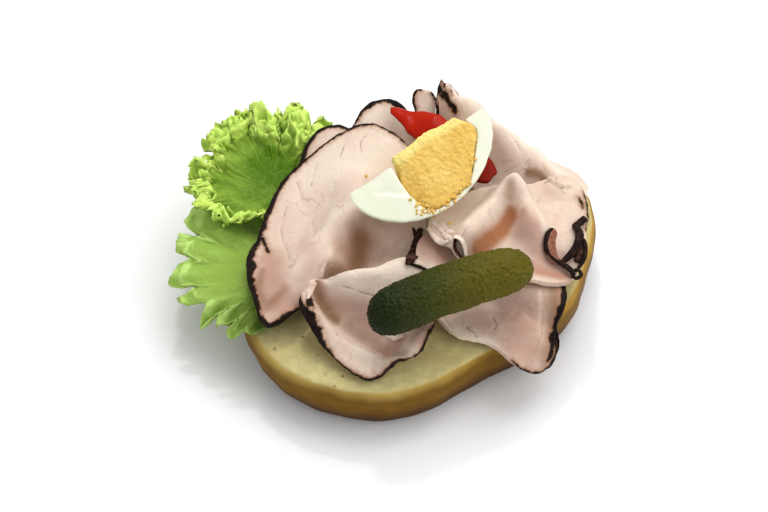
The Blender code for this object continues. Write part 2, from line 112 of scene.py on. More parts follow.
class SandwichColours(bpy.types.PropertyGroup):
    crumb: colour("Crumb", "Cut face of the roll", (0.60, 0.52, 0.24))
    crust: colour("Crust", "Baked side of the roll", (0.16, 0.078, 0.004))
    meat: colour("Meat", "Pale roast pork", (0.72, 0.575, 0.46))
    blush: colour("Blush", "Pink of the pork's middle", (0.66, 0.45, 0.36))
    fat: colour("Fat", "Pale fat of the pork", (0.84, 0.71, 0.59))
    # painted shade: the tan of the shade in the pork's deep folds, also the colour of its fine dark lines
    roast: colour("Roast", "Tan of the pork's deep folds", (0.24, 0.115, 0.052))
    brown: colour("Brown", "Roasted brown of the pork", (0.20, 0.085, 0.035))
    rind: colour("Rind", "Nearly black outer edge of the pork", (0.008, 0.004, 0.003))
    leaf: colour("Leaf", "Middle of a lettuce leaf", (0.075, 0.175, 0.001))
    frill: colour("Frill", "Bright curled edge of a lettuce leaf", (0.48, 0.66, 0.10))
    white: colour("Egg white", "Boiled egg white", (0.85, 0.86, 0.70))
    yolk: colour("Yolk", "Boiled egg yolk", (0.81, 0.51, 0.11))
    gherkin: colour("Gherkin", "Skin of the pickled gherkin", (0.034, 0.042, 0.001))
    pepper: colour("Pepper", "Skin of the red pepper", (0.40, 0.010, 0.0005))


def settings(context):
    return context.scene.sandwich_sizes, context.scene.sandwich_colours


# ------------------------------------------------------------------ materials

class Flow:
    """A value on its way through a material. Arithmetic on it adds Math nodes."""

    def __init__(self, finish, socket):
        self.finish = finish
        self.socket = socket

    def math(self, operation, first, second):
        return self.finish.node("ShaderNodeMath", {"operation": operation}, {0: first, 1: second})

    def __add__(self, other):
        return self.math("ADD", self, other)

    def __radd__(self, other):
        return self.math("ADD", other, self)

    def __sub__(self, other):
        return self.math("SUBTRACT", self, other)

    def __rsub__(self, other):
        return self.math("SUBTRACT", other, self)

    def __mul__(self, other):
        return self.math("MULTIPLY", self, other)

    def __rmul__(self, other):
        return self.math("MULTIPLY", other, self)


class Finish:
    """A material and the nodes that make it."""

    def __init__(self, name):
        self.material = bpy.data.materials.new(name)
        self.material.use_nodes = True
        self.tree = self.material.node_tree
        self.tree.nodes.clear()
        self.shader = self.tree.nodes.new("ShaderNodeBsdfPrincipled")
        output = self.tree.nodes.new("ShaderNodeOutputMaterial")
        self.tree.links.new(self.shader.outputs["BSDF"], output.inputs["Surface"])

    def feed(self, socket, value):
        if isinstance(value, Flow):
            self.tree.links.new(value.socket, socket)
        elif socket.type == "RGBA" and len(value) == 3:
            socket.default_value = (*value, 1.0)
        else:
            socket.default_value = value

    def node(self, kind, settings=None, values=None, output=0):
        """Adds a node, sets its settings and then its sockets, and gives the flow out of it."""
        made = self.tree.nodes.new(kind)
        for key, value in (settings or {}).items():
            if key == "stops":
                while len(made.color_ramp.elements) < len(value):
                    made.color_ramp.elements.new(0.5)
                for element, (place, tone) in zip(made.color_ramp.elements, value):
                    element.position = place
                    element.color = (*tone, 1.0)
            else:
                setattr(made, key, value)
        for key, value in (values or {}).items():
            self.feed(made.inputs[key], value)
        return Flow(self, made.outputs[output])

    def place(self):
        return self.node("ShaderNodeTexCoord", output="Object")

    def axis(self, index):
        """The place along X, Y or Z, for an index of 0, 1 or 2."""
        return self.node("ShaderNodeSeparateXYZ", None, {0: self.place()}, index)

    def mark(self, name):
        return self.node("ShaderNodeAttribute", {"attribute_name": name}, output="Fac")

    def marks(self, *names):
        return [self.mark(name) for name in names]

    def stretched(self, scale, turn=(0, 0, 0)):
        return self.node("ShaderNodeMapping", None, {"Vector": self.place(), "Scale": scale, "Rotation": turn})

    def clouds(self, size, detail=3.0, roughness=0.5, distortion=0.0, place=None):
        values = {"Vector": place or self.place(), "Scale": 1 / size, "Detail": detail,
                  "Roughness": roughness, "Distortion": distortion}
        return self.node("ShaderNodeTexNoise", None, values)

    def cells(self, size, feature="F1", place=None):
        values = {"Vector": place or self.place(), "Scale": 1 / size}
        return self.node("ShaderNodeTexVoronoi", {"feature": feature}, values)

    def web(self, size, stir, push):
        """How far the nearest line of an irregular web is: cells whose place is pushed about."""
        shift = self.node("ShaderNodeTexNoise", None, {"Vector": self.place(), "Scale": 1 / stir, "Detail": 3.0}, 1)
        values = {0: shift, 1: (push, push, push), 2: self.place()}
        place = self.node("ShaderNodeVectorMath", {"operation": "MULTIPLY_ADD"}, values)
        return self.cells(size, "DISTANCE_TO_EDGE", place)

    def step(self, value, low, high):
        values = {0: value, 1: low, 2: high, 3: 0.0, 4: 1.0}
        return self.node("ShaderNodeMapRange", {"interpolation_type": "SMOOTHSTEP"}, values)

    def layers(self, base, *layers):
        """A base colour with layers of (share, colour) laid over it, one after another."""
        for share, tone in layers:
            base = self.node("ShaderNodeMix", {"data_type": "RGBA"}, {0: share, 6: base, 7: tone}, 2)
        return base

    def bump(self, height, distance, strength):
        values = {"Height": height, "Distance": distance, "Strength": strength}
        return self.node("ShaderNodeBump", None, values)

    def shade(self, skin, roughness, normal=None, reflection=0.5, soft=0.0, depth=(1, 1, 1), coat=None):
        """Feeds the shader. soft is the share of light that sinks in, and depth how deep red, green and blue go
        in mm; coat is a clear layer's weight and roughness."""
        values = {"Base Color": skin, "Roughness": roughness, "Specular IOR Level": reflection}
        if normal:
            values["Normal"] = normal
        if soft:
            values |= {"Subsurface Weight": soft, "Subsurface Scale": 1.0,
                       "Subsurface Radius": [r * MM for r in depth]}
        if coat:
            values |= {"Coat Weight": coat[0], "Coat Roughness": coat[1]}
        for key, value in values.items():
            self.feed(self.shader.inputs[key], value)
        return self.material


def toned(base, *shares):
    """A colour times one share, or times a share each for red, green and blue."""
    return tuple(c * k for c, k in zip(base, shares * (3 // len(shares))))


# ------------------------------------------------------------------ mesh helpers

def only(piece):
    """Selects one piece and nothing else."""
    bpy.ops.object.select_all(action="DESELECT")
    piece.select_set(True)
    bpy.context.view_layer.objects.active = piece


def edit(piece, *steps):
    """Runs edit-mode steps on the whole of a piece."""
    only(piece)
    bpy.ops.object.mode_set(mode="EDIT")
    bpy.ops.mesh.select_all(action="SELECT")
    for step in steps:
        step()
    bpy.ops.object.mode_set(mode="OBJECT")


def turn_outward():
    bpy.ops.mesh.normals_make_consistent(inside=False)


def apply(piece, kind, **settings):
    """Adds one modifier to a piece and applies it."""
    only(piece)
    modifier = piece.modifiers.new(kind.title(), kind)
    for key, value in settings.items():
        setattr(modifier, key, value)
    bpy.ops.object.modifier_apply(modifier=modifier.name)


def remesh(piece, size, rounds):
    """Rebuilds a piece from even squares of a size and smooths it."""
    apply(piece, "REMESH", mode="VOXEL", voxel_size=size)
    apply(piece, "SMOOTH", iterations=rounds, factor=0.5)


def subdivide(piece, levels):
    apply(piece, "SUBSURF", levels=levels, render_levels=levels)


def subdivide_held(piece, levels):
    """Subdivides a piece so that the smooth surface still passes through its first points."""
    wanted = points_of(piece)
    for _ in range(2):
        trial = duplicate(piece)
        subdivide(trial, 1)
        missed = wanted - points_of(trial)[:len(wanted)]
        bpy.data.objects.remove(trial)
        put_points(piece, points_of(piece) + missed)
    subdivide(piece, levels)


def pull(points, spots):
    """Moves the points round each (x, y) spot by (dx, dy, dz), fading out over a radius, all in mm."""
    for (x, y), move, radius in spots:
        away = np.hypot(points[:, 0] / MM - x, points[:, 1] / MM - y)
        points = points + np.outer(np.exp(-(away / radius) ** 2), np.array(move) * MM)
    return points


def swell(piece, size, height, group="", depth=1, middle=0.5):
    """Raises and lowers the surface along its normals by a soft random pattern."""
    texture = bpy.data.textures.new(piece.name + "_swell", "CLOUDS")
    texture.noise_scale = size
    texture.noise_depth = depth
    apply(piece, "DISPLACE", texture=texture, texture_coords="LOCAL", strength=height,
          mid_level=middle, vertex_group=group)


def duplicate(piece):
    """A copy with its own mesh."""
    only(piece)
    bpy.ops.object.duplicate()
    return bpy.context.view_layer.objects.active


def copy_of(node, name):
    """A merged copy of a CAD node's solid, as a new piece."""
    piece = duplicate(frame["nodes"][node])
    for key in list(piece.keys()):
        del piece[key]
    piece.parent = None
    piece.name = name
    piece.data.name = name
    edit(piece,
         lambda: bpy.ops.mesh.remove_doubles(threshold=0.02 * MM),
         lambda: bpy.ops.mesh.tris_convert_to_quads(face_threshold=math.pi, shape_threshold=math.pi),
         turn_outward)
    return piece


def new_piece(name, points, faces):
    """A piece from points in metres and faces, turned to face outward."""
    mesh = bpy.data.meshes.new(name)
    mesh.from_pydata(points, [], faces)
    piece = bpy.data.objects.new(name, mesh)
    bpy.context.scene.collection.objects.link(piece)
    edit(piece, turn_outward)
    return piece


def points_of(piece):
    points = np.empty(len(piece.data.vertices) * 3)
    piece.data.vertices.foreach_get("co", points)
    return points.reshape(-1, 3)


def put_points(piece, points):
    piece.data.vertices.foreach_set("co", np.ascontiguousarray(points, float).ravel())
    piece.data.update()


def normals_of(piece):
    normals = np.empty(len(piece.data.vertices) * 3)
    piece.data.vertex_normals.foreach_get("vector", normals)
    return normals.reshape(-1, 3)


def write_mark(piece, name, values):
    """Stores one number per point, for the material to read."""
    layer = piece.data.attributes.new(name, "FLOAT", "POINT")
    layer.data.foreach_set("value", np.ascontiguousarray(values, np.float32))


def write_group(piece, name, values):
    """A vertex group that a modifier can be held to."""
    group = piece.vertex_groups.new(name=name)
    for index in np.nonzero(values > 0.01)[0]:
        group.add([int(index)], float(values[index]), "REPLACE")


def smooth(value, low, high):
    share = np.clip((value - low) / (high - low), 0.0, 1.0)
    return share * share * (3 - 2 * share)


def bell(away, width):
    """1 where a distance is 0, fading out over a width."""
    return np.exp(-(away / width) ** 2)


def all_round(values, turn):
    """Values given at even angles round a piece, read at turns from 0 to 1."""
    return np.interp(turn * len(values), range(len(values) + 1), [*values, values[0]])


def sampled(path, spacing=0.4):
    """Points at even spacing along a path of straight runs, in mm."""
    points = []
    for start, end in zip(path, path[1:]):
        start, end = np.array(start, float), np.array(end, float)
        count = max(1, int(np.linalg.norm(end - start) / spacing))
        points += [start + (end - start) * k / count for k in range(count)]
    return points + [np.array(path[-1], float)]


def flat(points):
    return [Vector((p[0], p[1], 0)) for p in points]


def tree_of(targets):
    tree = kdtree.KDTree(len(targets))
    for index, target in enumerate(targets):
        tree.insert(target, index)
    tree.balance()
    return tree


def nearest(points, targets):
    """How far each point is from the nearest target."""
    tree = tree_of(targets)
    return np.array([tree.find(point)[2] for point in points])


def beside(points, path):
    """For each point: how far it is from a path, whether it is on the path's left, and how far along it is."""
    samples = np.array(sampled(path, 0.3))
    ahead = np.gradient(samples, axis=0)
    tree = tree_of(flat(samples))
    away, left, share = np.empty(len(points)), np.empty(len(points), bool), np.empty(len(points))
    for k, point in enumerate(points):
        _, index, away[k] = tree.find(point)
        gap_x, gap_y = point.x - samples[index][0], point.y - samples[index][1]
        left[k] = ahead[index][0] * gap_y - ahead[index][1] * gap_x > 0
        share[k] = index / (len(samples) - 1)
    return away, left, share


def drop(tree, x, y, height):
    """The spot and normal that lie under (x, y) in mm, or else those nearest to that height."""
    found = tree.ray_cast(Vector((x * MM, y * MM, ABOVE)), DOWN)
    if found[0] is None:
        found = tree.find_nearest(Vector((x * MM, y * MM, height * MM)))
    return found[:2]


def surface_of(names):
    """The named pieces' faces, for rays to hit."""
    points, faces = [], []
    for name in names:
        mesh = bpy.data.objects[name].data
        first = len(points)
        points += [v.co.copy() for v in mesh.vertices]
        faces += [[first + k for k in p.vertices] for p in mesh.polygons]
    return BVHTree.FromPolygons(points, faces)


def rough(points, size, offset, octaves=2):
    """Soft random numbers from about -1 to 1 at each point, with features about size mm across."""
    shift = Vector((offset, offset * 0.7, 0))
    return np.array([noise.fractal(Vector(point) / (size * MM) + shift, 0.6, 2.0, octaves,
                                   noise_basis="PERLIN_ORIGINAL") for point in points])


def shade_smooth(piece):
    only(piece)
    bpy.ops.object.shade_smooth()


def keep_within(piece, low, high):
    put_points(piece, np.clip(points_of(piece), low, high))


def settle(piece, finish, slot, *nodes):
    """Gives a finished piece its material and body, and hides the CAD nodes it stands for; slot is not used."""
    shade_smooth(piece)
    keep_within(piece, *cad_box)
    piece.data.materials.clear()
    piece.data.materials.append(finish)
    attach(piece, "root")
    if nodes:
        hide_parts(*nodes)


# ------------------------------------------------------------------ roll

# where the roll's side is drawn in or out: the spot, the move and how far it fades, in mm
ROLL_PULLS = (((-46, -28), (1.8, 1.2, 0), 9), ((-8, -52), (0, -1.2, 0), 14))


def roll_finish(colours):
    """A crumbly cut face over a baked side, golden at the top and darkened at the foot partly by painted shade."""
    finish = Finish("baked_roll")
    cut = finish.mark("cut")
    height = finish.axis(2) + (finish.clouds(12 * MM) - 0.5) * 7 * MM * 0.6
    streak = finish.clouds(5 * MM, place=finish.stretched((1, 1, 2.5)))
    golden = finish.layers((0.54, 0.38, 0.10), (finish.step(finish.axis(0), -10 * MM, 30 * MM), (0.54, 0.31, 0.05)))
    crust = finish.layers(
        colours.crust,
        (finish.step(streak, 0.35, 0.75) * 0.45, toned(colours.crust, 1.5)),
        # darker towards the foot: partly the crust's own colour, partly painted shade
        (1 - finish.step(height, 5 * MM, 13 * MM), toned(colours.crust, 0.38, 0.26, 0.15)),
        (finish.step(height, 14.5 * MM, 20 * MM), golden))
    grain = finish.clouds(2.2 * MM, detail=5)
    patch = finish.clouds(16 * MM, detail=2)
    pits = (1 - finish.step(finish.cells(3.6 * MM), 0.06, 0.2)) * finish.step(finish.clouds(8 * MM), 0.48, 0.58)
    crumb = finish.layers(
        toned(colours.crumb, 0.84),
        (finish.step(grain, 0.35, 0.7), colours.crumb),
        (finish.step(patch, 0.45, 0.7) * 0.4, (0.60, 0.47, 0.18)),
        # painted shade: the crumb's holes painted dark
        (pits * 0.8, (0.22, 0.13, 0.03)))
    relief = finish.clouds(1.3 * MM, detail=4) * 0.6 + pits * -1.2
    return finish.shade(finish.layers(crust, (cut, crumb)), 0.62 + cut * 0.25,
                        finish.bump(relief, 0.35 * MM, 0.55), reflection=0.12)


class SANDWICH_OT_roll(bpy.types.Operator):
    """Finishes the bottom half of the roll"""
    bl_idname = "sandwich.roll"
    bl_label = "Roll"

    def execute(self, context):
        sizes, colours = settings(context)
        low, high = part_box("bread")
        piece = copy_of("bread", "roll_half")
        remesh(piece, 1.25 * MM, 4)
        subdivide(piece, 1)
        points = pull(points_of(piece), ROLL_PULLS)
        put_points(piece, points)
        cut = smooth(points[:, 2], high.z - 1.3 * MM, high.z - 0.5 * MM) * smooth(normals_of(piece)[:, 2], 0.35, 0.8)
        write_mark(piece, "cut", cut)
        write_group(piece, "face", cut)
        write_group(piece, "crust", 1 - cut)
        swell(piece, 14 * MM, 1.0 * MM, "crust", middle=1.0)
        swell(piece, 3.0 * MM, sizes.crumb_grain, "face", middle=1.0, depth=3)
        piece.vertex_groups.clear()
        keep_within(piece, low, high)
        settle(piece, roll_finish(colours), "crust", "bread")
        return {"FINISHED"}


# ------------------------------------------------------------------ lettuce

LEAF_RAYS, LEAF_RINGS = 380, 88


def leaf_finish(name, middle, outside, shade_tone, line_share):
    """A leaf from its darker middle out to its bright ruffled edge, with fine pale veins."""
    finish = Finish(name)
    crest, edge, out, vein, shade = finish.marks("crest", "edge", "out", "vein", "shade")
    cloud = finish.clouds(9 * MM, detail=4)
    half = tuple(a * 0.25 + b * 0.75 for a, b in zip(outside, middle))
    pale = tuple(min(1, c * 1.3 + 0.06) for c in outside)
    wander = finish.clouds(1.5 * MM) * 0.5
    line = (1 - finish.step(vein + wander, 0.2, 0.75)) * finish.step(cloud, 0.4, 0.6)
    fine = 1 - finish.step(finish.web(5.5 * MM, 5 * MM, 4 * MM), 0.0, 0.07)
    blade = finish.layers(
        middle,
        (finish.step(cloud, 0.35, 0.7), half),
        (finish.step(out + (cloud - 0.5) * 0.5, 0.5, 1.05) * 0.7, outside),
        (finish.step(edge, 0.15, 0.75) * 0.35, outside),
        # painted highlight on the ruffles' crests
        (finish.step(crest, 0.3, 0.85), pale),
        # painted shade in the ruffles' troughs
        (finish.step(0 - crest, 0.15, 0.8) * 0.9, toned(middle, 0.5)),
        (shade, shade_tone),
        (line * line_share, pale),
        (fine * 0.06, pale))
    grain = finish.cells(1.6 * MM, "DISTANCE_TO_EDGE")
    relief = finish.step(grain, 0.0, 0.3) * 0.4 + line * 0.5 + fine * 0.5
    return finish.shade(blade, 0.45 + cloud * 0.15, finish.bump(relief, 0.25 * MM, 0.35),
                        reflection=0.12, soft=0.12, depth=(0.6, 1.0, 0.2))


def leaf_outline(centre, reach, teeth, frills, ragged, angles):
    """For each angle: the radius, how far the edge sinks, and the share of the radius where the frill starts."""
    degrees = np.degrees(angles)
    radius = all_round(reach, degrees / 360)
    fall = np.zeros(len(angles))
    for angle, half_width, depth, sink in teeth:
        gap = (degrees - angle + 180) % 360 - 180
        tooth = np.clip(1 - np.abs(gap) / half_width, 0, 1) ** 0.8
        radius = radius + depth * tooth
        fall = fall + sink * tooth
    jag = np.array([noise.noise(Vector((math.cos(a) * 30, math.sin(a) * 30, centre[0]))) for a in angles])
    frill = all_round(frills, degrees / 360)
    radius = radius + (np.abs(jag) * ragged - 1.2) * smooth(1 - frill, 0.1, 0.5)
    return radius, fall, frill


def leaf_ground(node, flat_x, flat_y, start):
    """The height of a leaf's CAD solid along each ray, smoothed, in mm."""
    solid = frame["nodes"][node].data
    tree = BVHTree.FromPolygons([v.co for v in solid.vertices], [p.vertices for p in solid.polygons])
    height = np.zeros_like(flat_x)
    for i in range(LEAF_RAYS):
        last = start
        for k in range(LEAF_RINGS):
            last = drop(tree, flat_x[i, k], flat_y[i, k], last)[0].z / MM
            height[i, k] = last
    for _ in range(4):
        height = (height + np.roll(height, 1, 0) + np.roll(height, -1, 0)) / 3
        height[:, 1:-1] = (height[:, 1:-1] + height[:, 2:] + height[:, :-2]) / 3
    return height


def leaf_ruffles(flat_x, flat_y, frilled, curl):
    """How high each spot's ruffle stands, and how far it is pushed along X and Y, from about -1 to 1."""
    crest, push_x, push_y = (np.zeros_like(flat_x) for _ in range(3))
    for i, k in zip(*np.nonzero(frilled > 0.001)):
        spot = Vector((flat_x[i, k], flat_y[i, k], 0)) / curl
        spot += Vector((noise.noise(spot * 0.7), noise.noise(spot * 0.7 + Vector((9, 9, 9))), 0)) * 0.6
        ridge = 1 - 2.6 * abs(noise.noise(spot))
        fine = 1 - 2.6 * abs(noise.noise(spot * 2.1 + Vector((5, 3, 1))))
        crest[i, k] = ridge * 0.65 + fine * 0.35
        push_x[i, k] = noise.noise(spot * 1.1 + Vector((0, 7, 3)))
        push_y[i, k] = noise.noise(spot * 1.1 + Vector((4, 0, 8)))
    return crest, push_x, push_y


def leaf(name, node, centre, reach, teeth, frills, veins, sizes,
         ruffle=3.4, curl=3.4, ragged=5.5, shade=((0, 0), 1)):
    """A frilled leaf: rays from its foot out to a toothed edge, ruffled more and more towards that edge."""
    angles = np.linspace(0, FULL_TURN, LEAF_RAYS, endpoint=False)
    radius, fall, frill = leaf_outline(centre, reach, teeth, frills, ragged, angles)
    turn, out = np.meshgrid(angles, np.linspace(0.03, 1, LEAF_RINGS), indexing="ij")
    flat_x = centre[0] + np.cos(turn) * radius[:, None] * out
    flat_y = centre[1] + np.sin(turn) * radius[:, None] * out
    height = leaf_ground(node, flat_x, flat_y, centre[2])
    frilled = smooth(out, frill[:, None], frill[:, None] * 0.4 + 0.6)
    crest, push_x, push_y = leaf_ruffles(flat_x, flat_y, frilled, curl)
    flat_x = flat_x + push_x * frilled * ruffle * 0.76
    flat_y = flat_y + push_y * frilled * ruffle * 0.76
    waves = np.array([noise.noise(Vector((math.cos(a) * 3.2, math.sin(a) * 3.2, centre[1]))) for a in angles])
    lift = crest * frilled * ruffle + waves[:, None] * smooth(out, 0.3, 1.0) * 5.0
    height = height + lift + fall[:, None] * smooth(out, 0.55, 1.0)

    # the rings of points, and one in the middle that closes the first ring
    points = np.stack([flat_x, flat_y, height], -1).reshape(-1, 3) * MM
    middle = [[centre[0] * MM, centre[1] * MM, height[:, 0].mean() * MM]]
    hub = len(points)
    faces = []
    for i in range(LEAF_RAYS):
        this, following = i * LEAF_RINGS, (i + 1) % LEAF_RAYS * LEAF_RINGS
        faces += [(this + k, this + k + 1, following + k + 1, following + k) for k in range(LEAF_RINGS - 1)]
        faces.append((this, following, hub))
    piece = new_piece(name, np.concatenate([points, middle]).tolist(), faces)
    if normals_of(piece)[hub][2] < 0:
        edit(piece, bpy.ops.mesh.flip_normals)

    spots = flat(zip(flat_x.ravel(), flat_y.ravel()))
    vein = np.append(nearest(spots, flat(p for path in veins for p in sampled(path, 0.3))), 5.0)
    raised = points_of(piece)
    raised[:, 2] += bell(vein, 0.6) * 0.12 * MM
    (x, y), size = shade
    write_mark(piece, "shade", bell(np.hypot(raised[:, 0] / MM - x, raised[:, 1] / MM - y), size))
    write_mark(piece, "out", np.append(out.ravel(), 0))
    write_mark(piece, "crest", np.append((crest * frilled).ravel(), 0))
    write_mark(piece, "edge", np.append(frilled.ravel(), 0))
    write_mark(piece, "vein", vein)
    put_points(piece, raised)
    margin = sizes.leaf_wall * 0.5
    keep_within(piece, np.array(cad_box[0]) + margin, np.array(cad_box[1]) - margin)
    apply(piece, "SOLIDIFY", thickness=sizes.leaf_wall, offset=0)
    return piece


def branching(foot, tips, side=7.0, spread=0.62, count=4):
    """Veins from the foot of a leaf to each tip, with side veins off each of them."""
    paths = []
    for x, y in tips:
        run, rise = x - foot[0], y - foot[1]
        size, angle = math.hypot(run, rise), math.atan2(rise, run)
        bend = 0.06 * size * math.sin(angle * 3)
        middle = (foot[0] + run * 0.5 - math.sin(angle) * bend, foot[1] + rise * 0.5 + math.cos(angle) * bend)
        paths.append((foot, middle, (x, y)))
        for k in range(1, count + 1):
            share = k / (count + 1.0)
            start = (foot[0] + run * share, foot[1] + rise * share)
            for turn in (angle - spread, angle + spread):
                paths.append((start, (start[0] + math.cos(turn) * side, start[1] + math.sin(turn) * side)))
    return paths


class SANDWICH_OT_lettuce(bpy.types.Operator):
    """Models the two lettuce leaves"""
    bl_idname = "sandwich.lettuce"
    bl_label = "Lettuce"

    def execute(self, context):
        sizes, colours = settings(context)
        # the foot, the reach from it at every 10 degrees, teeth of (angle, half width, depth, sink),
        # where the frill starts at every 30 degrees, and the veins; degrees and mm
        back = leaf(
            "lettuce_leaf_back", "lettuce_back", (-46, 22, 28),
            (10, 12, 14, 18, 24, 28, 27, 26, 30, 28.5, 27, 29, 31.5, 30, 29, 28.5, 27.5, 28,
             28, 27, 26, 24, 22, 20.5, 17, 13.5, 12, 11, 10, 10, 10, 10, 10, 10, 10, 10),
            ((158, 3, -6, 0), (152, 2.5, -5, 0), (60, 5, 3, 0)),
            (0.9, 0.6, 0.35, 0.35, 0.62, 0.72, 0.66, 0.6, 0.55, 0.9, 0.95, 0.95),
            branching((-42, 12), ((-70, 40), (-60, 48), (-48, 50), (-74, 26), (-70, 14), (-36, 44), (-56, 6))),
            sizes)
        look = leaf_finish("lettuce_back_leaf", colours.leaf, colours.frill, toned(colours.leaf, 0.6), 0.07)
        settle(back, look, "lettuce", "lettuce_back")
        front = leaf(
            "lettuce_leaf_front", "lettuce_front", (-36, -10, 20),
            (12, 12, 12, 12, 12, 12, 13, 15, 18, 24, 30, 34, 36, 40, 45.5, 46.5, 44, 41,
             42, 39.5, 32.5, 30, 29.5, 26, 22, 18, 15, 13, 12, 12, 12, 12, 12, 12, 12, 12),
            ((152.6, 2.6, -8, 0), (168, 2, -5, 0), (184.6, 3, -7, 0), (181, 2.5, 2, -2), (196, 4, -4, 0),
             (203, 4, 4, -7), (207.5, 2, -6, 0), (212, 3, 2, -2), (217, 2, -6, 0), (222, 4, 2, -5)),
            (0.95, 0.95, 0.95, 0.9, 0.8, 0.8, 0.8, 0.8, 0.85, 0.95, 0.95, 0.95),
            branching((-36, -8), ((-76, 8), (-78, -2), (-74, 14), (-66, -18), (-60, -24), (-72, -14))),
            sizes, ruffle=1.4, curl=5.0, ragged=2.5, shade=((-42, -27), 14))
        look = leaf_finish("lettuce_front_leaf", (0.26, 0.40, 0.055), (0.34, 0.50, 0.10), (0.050, 0.085, 0.002), 0.14)
        settle(front, look, "lettuce", "lettuce_front")
        return {"FINISHED"}


# ------------------------------------------------------------------ pork

TONES = ("stain", "blush", "cream")
SECTORS = 24                    # even sectors round a slice, each with its own width of rind
NO_RIND = -5.0                  # the width, in mm, of a sector without any
NO_CRACK = 5.0                  # how far off, in mm, the nearest crack counts as none
SHARP = math.radians(58)        # edges sharper than this may be a slice's rim
RIM_CREASE = 0.75
